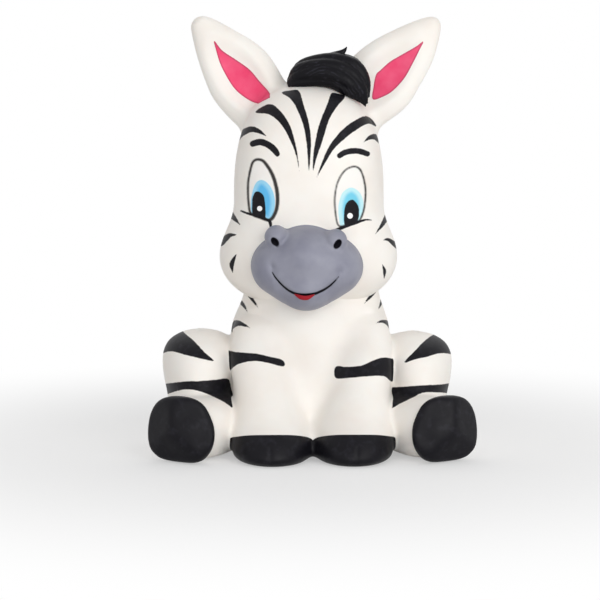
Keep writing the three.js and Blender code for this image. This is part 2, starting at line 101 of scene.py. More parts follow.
def column(points, sections):
    # level oval sections: height, middle x, middle y, half width, half depth
    fine = smoothRows(sections, 120)
    cx, cy, a, b = (np.interp(points[:, 2], fine[:, 0], fine[:, i]) for i in (1, 2, 3, 4))
    qx, qy = (points[:, 0] - cx) / a, (points[:, 1] - cy) / b
    reach = np.sqrt(qx ** 2 + qy ** 2) + 1e-6
    side = (reach - 1) * reach / np.sqrt((qx / a) ** 2 + (qy / b) ** 2 + 1e-12)
    return np.maximum(side, np.maximum(points[:, 2] - sections[-1][0], sections[0][0] - points[:, 2]))


def lineDistance(points, line, reach):
    # distance outside a line whose last column is its radius; points beyond reach are only called far
    best = np.full(len(points), farOff)
    path, radius = line[:, :-1], line[:, -1]
    near = np.flatnonzero(((points > path.min(0) - reach) & (points < path.max(0) + reach)).all(1))
    if len(near) == 0:
        return best
    some = points[near]
    found = best[near]
    for i in range(len(line) - 1):
        along = path[i + 1] - path[i]
        rel = some - path[i]
        t = np.clip(rel @ along / (along @ along + 1e-9), 0, 1)
        gap = lengths(rel - t[:, None] * along) - (radius[i] + t * (radius[i + 1] - radius[i]))
        found = np.minimum(found, gap)
    best[near] = found
    return best


def lock(points, path, count=14):
    # a tapering strand: path rows are x, y, z, radius
    line = smoothRows(path, count)
    return lineDistance(points, line, line[:, 3].max() + (4))


def joined(a, b, fillet):
    h = np.maximum(fillet - np.abs(a - b), 0) / fillet
    return np.minimum(a, b) - h * h * fillet / 4


def carved(a, b, fillet):
    return -joined(-a, b, fillet)


def turned(points, degrees, pivot):
    # the points seen from a frame that was turned about an upright axis
    c, s = math.cos(math.radians(degrees)), math.sin(math.radians(degrees))
    x, y = points[:, 0] - pivot[0], points[:, 1] - pivot[1]
    return np.stack([x * c + y * s + pivot[0], y * c - x * s + pivot[1], points[:, 2]], 1)


def meshOf(shape, grid):
    # the surface of a shape as points and triangles; only the blocks of cells near it are worked out
    low, high, step, quickStep = grid
    step = step
    side = 8  # cells along a block
    reach = 1.35 * side * step  # more than a block's half diagonal, because the distances are approximate
    band = 6 * step  # the cells hold no larger distance
    low = np.array(low, float)
    blocks = np.ceil((np.array(high) - low) / (step * side)).astype(int)
    index = np.stack(np.meshgrid(*[np.arange(n) for n in blocks], indexing="ij"), -1).reshape(-1, 3)
    cell = np.stack(np.meshgrid(*[np.arange(side)] * 3, indexing="ij"), -1).reshape(-1, 3)
    far = shape(low + (index + 0.5) * step * side)
    signs = np.where(far < 0, -band, band).astype(np.float32).reshape(blocks)
    cells = np.repeat(np.repeat(np.repeat(signs, side, 0), side, 1), side, 2)
    near = np.flatnonzero(np.abs(far) < reach)
    for part in np.array_split(near, max(1, len(near) // 800)):  # some hundred blocks at a time
        at = (index[part][:, None] * side + cell[None]).reshape(-1, 3)
        cells[at[:, 0], at[:, 1], at[:, 2]] = np.clip(shape(low + at * step), -band, band)
    volume = openvdb.FloatGrid(background=band)
    volume.copyFromArray(cells)
    points, quads = volume.convertToQuads(isovalue=0.0)
    quads = quads.astype(int)
    points = settle(shape, low + points.astype(float) * step)
    return points, np.vstack([quads[:, [0, 1, 2]], quads[:, [0, 2, 3]]])


def settle(shape, points, rounds=2):
    # moves the points onto the surface, along its slope, by half a millimetre a round at most
    probe = 0.05  # mm
    for _ in range(rounds):
        value = shape(points)
        slope = np.stack([shape(points + aside) - value for aside in np.eye(3) * probe], 1) / probe
        move = np.clip(value / np.maximum(lengths(slope) ** 2, 0.05), -0.5, 0.5)
        points = points - move[:, None] * slope
    return points


def cut(mesh, value):
    # parts a mesh where value is 0: what is under it, and the rest; both keep the same edge
    points, tris = mesh
    value = np.where(np.abs(value) < 1e-5, 1e-5, value)
    inside = value < 0
    edges = np.sort(np.vstack([tris[:, [0, 1]], tris[:, [1, 2]], tris[:, [2, 0]]]), 1)
    edges = np.unique(edges[inside[edges[:, 0]] != inside[edges[:, 1]]], axis=0)
    t = value[edges[:, 0]] / (value[edges[:, 0]] - value[edges[:, 1]])
    added = points[edges[:, 0]] + t[:, None] * (points[edges[:, 1]] - points[edges[:, 0]])
    key = edges[:, 0] * len(points) + edges[:, 1]

    def crossing(a, b):
        return len(points) + np.searchsorted(key, np.minimum(a, b) * len(points) + np.maximum(a, b))

    count = inside[tris].sum(1)
    kept = {True: [tris[count == 3]], False: [tris[count == 0]]}
    for lone, side in ((1, True), (2, False)):
        some = tris[count == lone]
        first = np.argmax(inside[some] == side, axis=1)
        rolled = np.stack([some[np.arange(len(some)), (first + i) % 3] for i in range(3)], 1)
        a, b, c = rolled.T
        ab, ac = crossing(a, b), crossing(a, c)
        kept[side].append(np.stack([a, ab, ac], 1))
        kept[not side] += [np.stack([ab, b, c], 1), np.stack([ab, c, ac], 1)]
    everything = np.vstack([points, added])
    return [withoutSpares(everything, np.vstack(kept[side])) for side in (True, False)]


def withoutSpares(points, tris):
    # drops the points that no triangle uses
    used, new = np.unique(tris, return_inverse=True)
    return points[used], new.reshape(-1, 3)


# The foam forms

toyMiddle = -0.6  # the middle plane of the moulding, off the frame's own by this much
sides = {"right": -1, "left": 1}

trunk = {
    # height, middle x, middle y, half width, half depth
    "sections": [
        (-3.0, toyMiddle, 7.6, 23.4, 23.0),
        (4.4, toyMiddle, 8.0, 28.6, 27.4),
        (11.0, toyMiddle, 8.0, 29.5, 28.2),
        (20.5, toyMiddle, 6.8, 27.0, 25.8),
        (29.0, toyMiddle, 4.9, 23.8, 21.2),
        (35.5, toyMiddle, 3.7, 22.6, 19.4),
        (41.5, -0.4, 3.2, 20.4, 18.5),
        (47.0, -0.2, 3.0, 18.6, 17.8),
        (55.0, -0.2, 2.6, 15.0, 15.0),
        (60.0, -0.2, 2.6, 6.0, 6.0),
    ],
    "baseRound": 1.6,  # rounding of the edge where it sits flat
    "pressStart": 9.0,  # a height low on the belly
    "chestHeight": 30.0,  # the belly piece ends here
    "turnStart": 34.0,  # a height over the thighs' tops
    "neckHeight": 38.6,  # the chest piece ends here
    "neckY": 3.0,
    "bendEnd": 45.6,  # a height on the neck, under the head
}
foreleg = {
    # height, distance out, y, half width, half depth
    "sections": [
        (-3.0, 10.6, -24.4, 7.4, 12.4),
        (0.0, 11.2, -25.0, 9.8, 14.0),
        (2.6, 11.5, -25.2, 11.0, 14.8),
        (7.4, 11.8, -23.8, 11.1, 13.4),
        (12.0, 12.4, -20.8, 10.1, 11.0),
        (18.5, 13.6, -17.0, 8.7, 9.4),
        (26.0, 15.0, -12.6, 8.0, 8.8),
        (31.0, 15.6, -9.4, 7.4, 8.2),
        (36.0, 15.8, -7.0, 5.6, 6.4),
        (38.2, 15.8, -6.4, 2.4, 3.0),
        (39.0, 15.8, -6.4, 0.8, 1.0),
    ],
    "blend": 4.4,
    "hoofTop": 8.6,
    "hoofDip": (0.84, 1.26),  # its edge falls to the sides, with the square and the fourth power
    "hoofOut": 11.8,
    "hoofHalf": 11.0,
    "hoofBack": -21.0,
    # the groove pressed into the hoof's front: distance out, y, height and radius
    "cleft": [(11.9, -40.6, -1.0, 0.8), (11.9, -40.4, 3.0, 0.7), (12.1, -38.6, 5.6, 0.3)],
    "cleftBlend": 0.5,
}
hind = {
    "knee": {"right": (32.4, 33.8), "left": (29.2, 32.9)},  # distance out and top
    # share of the knee's height, shift outwards, y, half width, half depth
    "sections": [
        (-0.09, -1.0, 4.0, 8.8, 18.6),
        (0.10, -0.6, 4.0, 9.6, 22.0),
        (0.30, -0.2, 3.4, 9.7, 22.8),
        (0.45, 0.0, 2.8, 10.0, 22.4),
        (0.60, 0.0, 1.6, 10.9, 21.0),
        (0.72, 0.0, 0.6, 11.2, 19.2),
        (0.82, 0.0, -0.4, 10.8, 16.8),
        (0.90, 0.0, -0.8, 9.4, 13.6),
        (0.955, 0.0, -1.2, 7.0, 9.6),
        (0.985, 0.0, -1.4, 4.4, 6.0),
        (1.0, 0.0, -1.4, 1.4, 2.0),
    ],
    "footTurn": 26,
    "hoof": (36.9, -31.0, 9.0),  # distance out, y and height of its middle
    "hoofHalf": (10.5, 4.2, 9.7),
    "hoofBack": 1.6,  # the paint ends this far behind the middle
    "hoofReach": 14.0,
    "hoofBlend": 1.2,
    # flats pressed into the hoof: their direction (outwards, y, up) and distance
    "facets": [
        (0.42, -0.90, 0.12, 4.2), (-0.38, -0.90, 0.2, 4.1), (0.1, -0.92, -0.38, 4.2),
        (-0.85, -0.3, 0.42, 8.9),
    ],
    "facetBlend": 0.9,
    "cleft": [(-0.2, -4.4, 9.8, 0.9), (-0.4, -4.7, 6.4, 0.9), (-0.8, -4.6, 2.4, 0.3)],
    "footMiddle": (-1.4, 13.0, -0.6),  # outwards, back and up from the hoof's middle
    "footHalf": (9.4, 16.5, 8.8),
    "footBlend": 2.6,
    "power": 2.3,  # of the foot's and hoof's ovals
    "blend": 2.2,
}
head = {
    "turn": -4.0,
    "pivot": (0.0, 3.0),
    "middle": (-0.9, 0.5, 71.6),
    "half": (21.5, 22.4, 32.6),
    "power": 2.6,
    "cheekOut": 13.8,
    "cheekMiddle": (-4.2, 55.0),  # y and height
    "cheekHalf": (11.6, 12.4, 10.8),
    "cheekBlend": 7.0,
}
muzzle = {
    "middle": -0.6,
    "bridge": ((0.0, -17.4, 56.2), (10.6, 14.8, 9.5)),
    "lobe": ((8.2, -18.6, 53.4), (7.4, 10.4, 7.8)),
    "chin": ((0.0, -20.4, 47.2), (8.0, 10.2, 6.3)),
    "blend": 4.6,
    "mound": ((8.2, -24.2, 61.7), (3.3, 4.6, 3.3)),
    "moundLean": 0.5,  # the right one is this much higher, the left one lower
    "moundBlend": 1.0,
    "faceBlend": 0.9,
    "back": -8.0,  # its paint lies in front of this
    "front": -18.0,  # the mouth's marks are on what lies in front of this
    # the smile's line across the muzzle: x, height and width
    "smile": [
        (-9.7, 52.8, 0.3), (-8.5, 50.9, 0.5), (-6.7, 48.9, 0.65), (-4.9, 47.6, 0.75), (-3.0, 46.9, 0.8),
        (-0.8, 46.7, 0.8), (1.9, 46.9, 0.8), (3.9, 47.6, 0.75), (5.7, 48.6, 0.65), (7.3, 50.0, 0.5),
        (8.7, 51.6, 0.3),
    ],
    "dimples": [(-9.7, 54.2, 0.2), (9.2, 53.0, -0.2)],  # over the smile's ends: x, height and lean
    "dimpleSize": 2.0,
    "dimpleDepth": 0.9,
    "dimpleTall": 0.7,  # its width against its height
    "grooveReach": 0.5,  # the smile is a groove that starts this far from its line
    "grooveSlope": 0.35,
    "lipStep": 0.7,  # the lower lip lies back from the upper one by this much
    "lipEdge": 1.3,  # the step's own height
    "lipEnds": (9.0, 3.0),  # distance out where the step has run out, and over how much it does
    "lipFoot": (8.5, 6.0),  # the same below the smile
    "nostril": (8.7, -28.7, 60.7),  # distance out, y and height
    "nostrilShift": (0.4, 0.2),  # both lie this far to the left, and the right one this much higher
    "nostrilHalf": (0.85, 1.3, 1.45),
    "nostrilLean": 32,  # degrees outwards at the top
    "nostrilBlend": 0.6,
    "nostrilPaint": 0.25,  # the black goes this far round it
}
tail = {
    "path": [
        (toyMiddle, 30.0, 11.0, 4.2), (toyMiddle, 36.0, 9.4, 3.6),
        (toyMiddle, 40.5, 8.0, 3.1), (toyMiddle, 43.6, 6.6, 2.9),
    ],
    "blend": 3.0,
    "bend": ((0, 36.6, 9.0), (0, 41.0, 8.0)),  # its piece starts at the first y
}
ear = {
    "out": 14.6,
    "seat": (4.0, 99.5),  # y and height
    "splay": {"right": 37.5, "left": 43.0},
    # distance along the ear, shift, half width, half thickness
    "sections": {
        "right": [
            (-14.0, 0.0, 5.0, 5.0),
            (-6.0, 0.0, 8.0, 5.4),
            (0.0, -0.2, 9.5, 5.2),
            (8.0, 0.0, 10.2, 4.9),
            (14.0, 0.2, 9.1, 4.3),
            (20.5, 0.0, 6.7, 3.6),
            (25.5, 0.0, 4.5, 3.0),
            (28.4, -0.1, 2.9, 2.4),
            (29.5, -0.2, 1.8, 1.4),
            (30.0, -0.2, 0.6, 0.5),
        ],
        "left": [
            (-14.0, 0.0, 5.0, 5.0),
            (-6.0, 0.0, 8.0, 5.4),
            (0.0, 0.0, 9.6, 5.2),
            (8.0, -0.3, 10.5, 4.9),
            (15.0, -0.2, 9.3, 4.3),
            (22.0, -0.5, 7.1, 3.6),
            (27.2, -0.4, 4.7, 3.0),
            (30.4, -0.3, 2.8, 2.4),
            (31.8, -0.3, 1.5, 1.4),
            (32.3, -0.3, 0.5, 0.5),
        ],
    },
    "hollow": ((0.0, -5.6, 10.4), (6.8, 3.9, 13.6)),
    "hollowBlend": 1.6,
    "headBlend": 3.2,
    "bend": (3.0, 10.0),  # its piece starts at the first distance from its root
    "pinkBack": 0.5,  # the pink lies in front of this
    "pinkFoot": -6.0,  # and ends here down the crown
    "pinkTaper": (-9.0, 0.1),  # it narrows in front of the first, by the second for each millimetre
    # outline of the pink paint: shift and distance along
    "pink": {
        "right": [
            (0.4, 21.5), (0.5, 17.9), (1.9, 13.7), (3.4, 8.8), (3.7, 4.1), (4.2, -1.5), (3.0, -1.7),
            (1.2, -1.2), (-0.3, -0.6), (-1.9, 1.6), (-3.2, 5.7), (-3.3, 9.4), (-2.4, 14.9), (-0.7, 19.4),
        ],
        "left": [
            (-1.6, 24.9), (-1.1, 22.4), (0.2, 18.2), (1.4, 14.2), (1.8, 10.3), (1.8, 8.6), (0.1, 5.8),
            (-2.3, 2.9), (-4.1, 5.8), (-4.9, 9.0), (-4.8, 13.6), (-3.7, 18.1), (-2.5, 22.2),
        ],
    },
}


def trunkShape(p):
    return column(p, trunk["sections"])


def forelegShape(p, out):
    rows = [(z, toyMiddle + out * x, y, a, b) for z, x, y, a, b in foreleg["sections"]]
    return column(p, rows)


def thighShape(p, side):
    out, top = hind["knee"][side]
    rows = [(share * top, sides[side] * (out + shift), y, a, b) for share, shift, y, a, b in hind["sections"]]
    return column(p, rows)


def inFoot(p, side):
    # the points from the middle of a hind hoof, whose foot points straight ahead there
    x, y, z = hind["hoof"]
    x = toyMiddle + sides[side] * x
    return turned(p, sides[side] * hind["footTurn"], (x, y)) - np.array([x, y, z])


def hoofShape(p, side):
    q = inFoot(p, side)
    shape = egg(q, (0, 0, 0), hind["hoofHalf"], hind["power"])
    for x, y, z, away in hind["facets"]:
        flat = away - sides[side] * x * q[:, 0] - y * q[:, 1] - z * q[:, 2]
        shape = carved(shape, flat, hind["facetBlend"])
    return shape


def footShape(p, side):
    x, y, z = hind["footMiddle"]
    return egg(inFoot(p, side), (sides[side] * x, y, z), hind["footHalf"], hind["power"])


def cleftShape(p):
    # the groove pressed into the front of each hoof
    shape = np.full(len(p), farOff)
    for side, out in sides.items():
        rows = [(toyMiddle + out * x, y, z, radius) for x, y, z, radius in foreleg["cleft"]]
        shape = np.minimum(shape, lock(p, rows, 6))
        shape = np.minimum(shape, lock(inFoot(p, side), hind["cleft"], 6))
    return shape


def hindShape(p, side):
    shape = joined(thighShape(p, side), footShape(p, side), hind["footBlend"])
    return joined(shape, hoofShape(p, side), hind["hoofBlend"])


def bodyShape(p):
    shape = trunkShape(p)
    for side, out in sides.items():
        shape = joined(shape, forelegShape(p, out), foreleg["blend"])
    for side in sides:
        shape = joined(shape, hindShape(p, side), hind["blend"])
    shape = joined(shape, lock(p, tail["path"], 8), tail["blend"])
    shape = carved(shape, cleftShape(p), foreleg["cleftBlend"])
    return carved(shape, p[:, 2], trunk["baseRound"])  # flat where it sits


def upright(p):
    # the points from a head that looks straight ahead; leant brings them back
    return turned(p, head["turn"], head["pivot"])


def leant(q):
    return turned(q, -head["turn"], head["pivot"])


def skullShape(q):
    shape = egg(q, head["middle"], head["half"], head["power"])
    y, z = head["cheekMiddle"]
    for out in sides.values():
        cheek = egg(q, (head["middle"][0] + out * head["cheekOut"], y, z), head["cheekHalf"])
        shape = joined(shape, cheek, head["cheekBlend"])
    return shape


def muzzleForm(q, name, out, rise=0.0):
    (x, y, z), half = muzzle[name]
    return egg(q, (muzzle["middle"] + out * x, y, z + rise), half)


def muzzleShape(q):
    shape = muzzleForm(q, "bridge", 1)
    for name, out in (("lobe", -1), ("lobe", 1), ("chin", 1)):
        shape = joined(shape, muzzleForm(q, name, out), muzzle["blend"])
    for out in (-1, 1):
        shape = joined(shape, muzzleForm(q, "mound", out, -out * muzzle["moundLean"]), muzzle["moundBlend"])
    return shape


smileLine = smoothRows([(x, z, width / 2) for x, z, width in muzzle["smile"]], 40)


def smileDistance(q):
    # distance outside the painted smile, looking along the head
    best = np.full(len(q), farOff)
    front = q[:, 1] < muzzle["front"]
    best[front] = lineDistance(q[front][:, [0, 2]], smileLine, 6)
    return best


def lipStep(q):
    # 1 on the lower lip just under the smile, fading to its ends and towards the chin
    under = np.interp(q[:, 0], smileLine[:, 0], smileLine[:, 1]) - q[:, 2]
    step = np.clip(under / muzzle["lipEdge"] + 0.5, 0, 1)
    step = step * step * (3 - 2 * step)
    width, fade = muzzle["lipEnds"]
    ends = np.clip((width - np.abs(q[:, 0] + 0.5)) / fade, 0, 1)
    drop, fade = muzzle["lipFoot"]
    chin = np.clip((drop - under) / fade, 0, 1)
    return np.where(q[:, 1] < muzzle["front"], step * ends * chin, 0)


def nostrilShape(q, out):
    # an oval pit leaning outwards at the top
    x, y, z = muzzle["nostril"]
    aside, lift = muzzle["nostrilShift"]
    x = q[:, 0] - muzzle["middle"] - aside - out * x
    z = q[:, 2] - z + out * lift
    lean = math.radians(muzzle["nostrilLean"]) * out
    c, s = math.cos(lean), math.sin(lean)
    return egg(np.stack([x * c - z * s, q[:, 1] - y, x * s + z * c], 1), (0, 0, 0), muzzle["nostrilHalf"])


def inEar(q, side):
    # the points from the ear's root: shift, y and distance along
    out = sides[side]
    y, z = ear["seat"]
    lean = math.radians(ear["splay"][side])
    c, s = math.cos(lean), math.sin(lean)
    x = (q[:, 0] - head["middle"][0] - out * ear["out"]) * out
    up = q[:, 2] - z
    return np.stack([up * s - x * c, q[:, 1] - y, x * s + up * c], 1)


def earShape(q, side):
    r = inEar(q, side)
    leaf = column(r, [(t, x, 0, a, b) for t, x, a, b in ear["sections"][side]])
    middle, half = ear["hollow"]
    return carved(leaf, egg(r, middle, half), ear["hollowBlend"])


def headShape(p):
    q = upright(p)
    shape = joined(skullShape(q), muzzleShape(q), muzzle["faceBlend"])
    for side, out in sides.items():
        shape = joined(shape, earShape(q, side), ear["headBlend"])
        shape = carved(shape, nostrilShape(q, out), muzzle["nostrilBlend"])
    for x, z, lean in muzzle["dimples"]:
        x, z = q[:, 0] - x, q[:, 2] - z
        dent = np.hypot(x + lean * z, z * muzzle["dimpleTall"]) / muzzle["dimpleSize"]
        dent = muzzle["dimpleDepth"] * np.maximum(1 - dent, 0) ** 2
        shape = shape + np.where(q[:, 1] < muzzle["front"], dent, 0)
    groove = muzzle["grooveSlope"] * np.maximum(muzzle["grooveReach"] - smileDistance(q), 0)
    return shape + muzzle["lipStep"] * lipStep(q) + groove


tongue = {
    "back": -24.0,  # it ends at this y, inside the muzzle
    # outline: x and height
    "outline": [
        (-3.5, 46.9), (-2.6, 45.8), (-1.5, 45.25), (0.1, 45.2), (1.2, 45.8), (2.1, 46.8), (-0.6, 46.4),
    ],
    "rise": 0.5,
}
hair = {
    # strands of the forelock, from its lower front edge over the crown: upright x, y, height and radius
    "forelock": [
        [
            (-5.8, -4.4, 104.2, 1.0), (-3.0, -5.4, 104.9, 1.6), (2.0, -5.8, 105.8, 2.0),
            (6.2, -6.6, 105.2, 2.0), (9.4, -7.6, 103.2, 1.7), (12.4, -7.0, 101.2, 1.2),
            (14.9, -5.4, 98.9, 0.3),
        ],
        [
            (-5.9, -3.8, 104.8, 1.2), (-3.2, -5.4, 106.7, 1.9), (2.4, -6.8, 107.7, 2.2),
            (7.2, -7.6, 106.9, 2.2), (10.8, -8.0, 104.7, 2.0), (13.4, -7.0, 102.0, 1.4),
            (15.4, -5.4, 98.3, 0.3),
        ],
        [
            (-5.7, -2.6, 105.4, 1.4), (-3.4, -4.4, 108.2, 2.0), (2.2, -6.0, 109.5, 2.1),
            (7.6, -6.8, 109.1, 2.2), (11.9, -7.2, 106.9, 2.0), (14.4, -6.6, 103.2, 1.6),
            (15.8, -5.6, 99.2, 0.4),
        ],
        [
            (-5.2, -1.2, 105.6, 1.5), (-2.8, -2.8, 109.2, 2.0), (2.6, -4.2, 111.0, 2.0),
            (8.0, -5.2, 111.0, 2.1), (12.7, -5.8, 109.2, 2.0), (15.2, -5.8, 105.4, 1.6),
            (16.2, -5.4, 101.0, 0.5),
        ],
        [
            (-4.4, 1.0, 105.4, 1.8), (-1.2, 0.2, 109.0, 2.3), (3.4, -1.2, 110.6, 2.3),
            (8.2, -2.8, 110.9, 2.3), (12.2, -4.2, 109.9, 1.9), (14.8, -5.0, 107.2, 0.8),
        ],
        [
            (-3.4, 3.4, 104.8, 2.1), (0.4, 2.8, 107.8, 2.5), (4.6, 1.4, 109.2, 2.5),
            (8.4, -0.4, 109.6, 2.2), (11.6, -2.4, 109.0, 1.0),
        ],
        [(-2.2, 5.8, 103.8, 2.2), (1.6, 5.4, 106.0, 2.5), (5.0, 4.0, 106.9, 2.4), (8.4, 1.8, 107.2, 1.2)],
        [
            (3.6, -3.4, 111.4, 1.5), (6.8, -3.8, 112.5, 1.2), (9.0, -4.0, 113.6, 0.7),
            (10.0, -4.0, 114.8, 0.2),
        ],
    ],
    "crest": 10,  # tufts of the mane down the back of the head
    "crestFrom": 26,  # degrees behind upright
    "crestTo": 112,
    "crestRise": 6.2,
    "crestDrop": 4.4,
    "crestPitch": 1.9,  # from strand to strand across the head
    # a strand's points: share of the rise, share of the drop, how far it leans to the middle, radius
    "crestStrand": [
        (-0.3, -0.7, 0.0, 2.0), (0.35, 0.0, 0.16, 2.2), (0.8, 0.75, 0.32, 1.5), (1.05, 1.5, 0.48, 0.3),
    ],
    "tuft": 8,  # strands in the tail's tuft
    # a strand's points: y, height, radius, how far they spread aside and up, and how uneven they lie
    "tuftStrand": [
        (42.4, 6.9, 1.5, 1.1, 1.1, 0.0), (45.2, 5.4, 1.7, 2.3, 2.2, 0.0),
        (48.4, 4.4, 1.5, 2.1, 1.9, 0.0), (52.0, 3.0, 0.4, 0.7, 0.8, 0.5),
    ],
    "tuftCore": [(toyMiddle, 42.0, 6.9, 2.2), (toyMiddle, 46.0, 5.2, 3.0), (toyMiddle, 50.0, 3.9, 1.4)],
    "fillet": 0.35,
}


def tongueShape(q):
    pad = np.maximum(headShape(leant(q)) - tongue["rise"], areaDistance(q[:, [0, 2]], tongue["outline"]))
    return np.maximum(pad, q[:, 1] - tongue["back"])


def strands(p, paths):
    shape = lock(p, paths[0], 4 * len(paths[0]))
    for path in paths[1:]:
        shape = joined(shape, lock(p, path, 4 * len(path)), hair["fillet"])
    return shape


def crestPaths():
    # each tuft is three strands side by side, raked down and back from where the skull's outline has its root
    paths = []
    _, deep, high = head["half"]
    for i in range(hair["crest"]):
        degrees = hair["crestFrom"] + (hair["crestTo"] - hair["crestFrom"]) * i / (hair["crest"] - 1)
        for j in (-1, 0, 1):
            angle = math.radians(degrees + 2.2 * abs(j) + 1.6 * math.sin(i * 2.4 + j))  # a little uneven
            a, b = math.sin(angle), math.cos(angle)
            bulge = (abs(a) ** head["power"] + abs(b) ** head["power"]) ** (-1 / head["power"])
            away = np.array([0, a * high, b * deep]) / math.hypot(a * high, b * deep)
            down = np.array([0, away[2], -away[1]])
            root = np.array(head["middle"]) + np.array([0.3, a * deep * bulge, b * high * bulge])
            rise = hair["crestRise"] * (1 - 0.12 * abs(j) + 0.1 * math.sin(i * 1.7))
            path = []
            for out, back, lean, radius in hair["crestStrand"]:
                at = root + away * out * rise + down * back * hair["crestDrop"]
                path.append((at[0] + j * (hair["crestPitch"] - lean), at[1], at[2], radius))
            paths.append(path)
    return paths


def tuftPaths():
    # strands round the tail's end, drawn together at their tips
    paths = []
    for i in range(hair["tuft"]):
        angle = 2 * math.pi * i / hair["tuft"]
        x, z = math.cos(angle), math.sin(angle)
        path = []
        for y, height, radius, wide, tall, uneven in hair["tuftStrand"]:
            path.append((toyMiddle + wide * x, y + uneven * math.sin(3 * angle), height + tall * z, radius))
        paths.append(path)
    return paths + [hair["tuftCore"]]


# Paint: signed distances in millimetres, below 0 where there is paint

eyePoint = np.array(camera["eye"])
sight = np.array(camera["aim"]) - eyePoint
reach = np.linalg.norm(sight)
sight = sight / reach
across = np.cross(sight, (0, 0, 1))
across = across / np.linalg.norm(across)
upward = np.cross(across, sight)


def seen(p):
    # x and height as the camera sees them on the plane through its aim
    rel = p - eyePoint
    depth = rel @ sight
    scale = reach / depth
    return np.stack([rel @ across * scale + camera["aim"][0], rel @ upward * scale + camera["aim"][2]], 1)


def strokeDistance(uv, rows):
    # a brush stroke: rows are x, height, width
    line = smoothRows(rows, 4 * len(rows))
    line[:, 2] /= 2
    return lineDistance(uv, line, 6)


def areaDistance(uv, corners):
    # a closed painted area with a smooth outline
    ring = np.array([corners[-1], *corners, corners[0], corners[1]], float)
    fine = smoothRows(ring, 8 * len(ring))
    step = len(fine) // (len(ring) - 1)
    fine = fine[step:-step]
    loop = np.vstack([fine, fine[:1]])
    gap = lineDistance(uv, np.hstack([loop, np.zeros((len(loop), 1))]), 6)
    near = np.flatnonzero(gap < farOff)
    x, z = uv[near].T
    inside = np.zeros(len(near), bool)
    for a, b in zip(loop[:-1], loop[1:]):
        crosses = (a[1] > z) != (b[1] > z)
        if crosses.any():
            inside ^= crosses & (x < a[0] + (z - a[1]) / (b[1] - a[1]) * (b[0] - a[0]))
    gap[near] = np.where(inside, -gap[near], gap[near])
    return gap


# strokes as the camera sees them: x, height, width; the first lot is on the head, the second on the body
faceStrokes = {
    "templeRight": [
        (-23.6, 84.6, 0.6), (-22.4, 87.8, 1.2), (-20.6, 90.3, 1.6), (-17.9, 91.6, 1.7), (-15.6, 91.0, 1.2),
        (-13.6, 89.7, 0.2),
    ],
    "templeLeft": [(14.8, 87.9, 0.1), (16.6, 89.2, 1.2), (18.5, 89.2, 1.7), (20.6, 86.6, 1.0)],
    "browRight": [
        (-17.4, 87.4, 1.8), (-15.2, 87.9, 1.9), (-12.9, 87.1, 1.9), (-11.2, 85.7, 1.9), (-10.3, 84.5, 1.6),
    ],
    "browLeft": [
        (7.8, 84.0, 1.6), (9.4, 84.9, 1.7), (11.4, 85.3, 1.7), (13.6, 85.2, 1.7), (15.8, 84.5, 1.6),
    ],
    "cheekRightTop": [(-25.2, 69.0, 2.2), (-24.0, 67.2, 1.9), (-22.6, 65.6, 1.2), (-21.0, 63.8, 0.1)],
    "cheekRightMiddle": [(-26.6, 58.6, 1.8), (-25.2, 60.0, 1.7), (-24.0, 60.9, 1.2), (-22.3, 61.0, 0.3)],
    "cheekRightLow": [(-22.1, 55.4, 0.1), (-23.0, 53.8, 1.0), (-23.5, 52.2, 1.3), (-23.2, 50.0, 0.1)],
    "cheekLeftTop": [(22.6, 68.4, 1.9), (21.6, 66.4, 1.6), (20.2, 64.0, 1.1), (18.2, 61.3, 0.1)],
    "cheekLeftMiddle": [(20.3, 59.5, 0.1), (21.9, 59.6, 0.9), (23.6, 58.4, 1.4), (24.8, 57.4, 1.5)],
    "cheekLeftLow": [(20.2, 52.4, 0.1), (20.8, 50.6, 0.9), (20.7, 48.4, 0.2)],
    "lidRight": [
        (-20.8, 67.9, 0.5), (-18.6, 67.1, 0.7), (-15.6, 66.2, 0.7), (-12.9, 65.2, 0.8), (-12.3, 64.4, 1.0),
        (-12.2, 63.4, 0.7),
    ],
    "lidLeft": [
        (6.9, 62.4, 1.0), (9.4, 63.4, 0.9), (12.6, 64.5, 0.8), (15.0, 65.3, 0.6), (17.0, 65.3, 0.3),
    ],
}
neckStrokes = {
    "neckRightTop": [(-19.6, 45.6, 1.0), (-18.4, 43.6, 1.1), (-17.2, 41.8, 0.8), (-15.7, 39.7, 0.1)],
    "neckRightMiddle": [(-21.9, 42.4, 1.0), (-20.6, 41.2, 1.1), (-19.7, 40.0, 0.7), (-18.9, 38.5, 0.1)],
    "shoulderRight": [
        (-24.9, 33.0, 1.6), (-23.6, 34.6, 2.0), (-21.9, 35.4, 1.7), (-20.0, 34.9, 0.9), (-18.2, 34.0, 0.1),
    ],
    "neckLeftTop": [(18.4, 45.4, 1.0), (17.2, 43.7, 1.0), (16.2, 42.5, 0.7), (14.8, 41.0, 0.1)],
    "neckLeftMiddle": [(19.7, 42.4, 0.1), (19.8, 41.2, 0.7), (19.0, 39.4, 0.1)],
    "shoulderLeft": [(18.3, 35.4, 0.1), (20.0, 35.9, 0.8), (21.6, 35.5, 1.3), (23.2, 33.8, 1.6)],
}
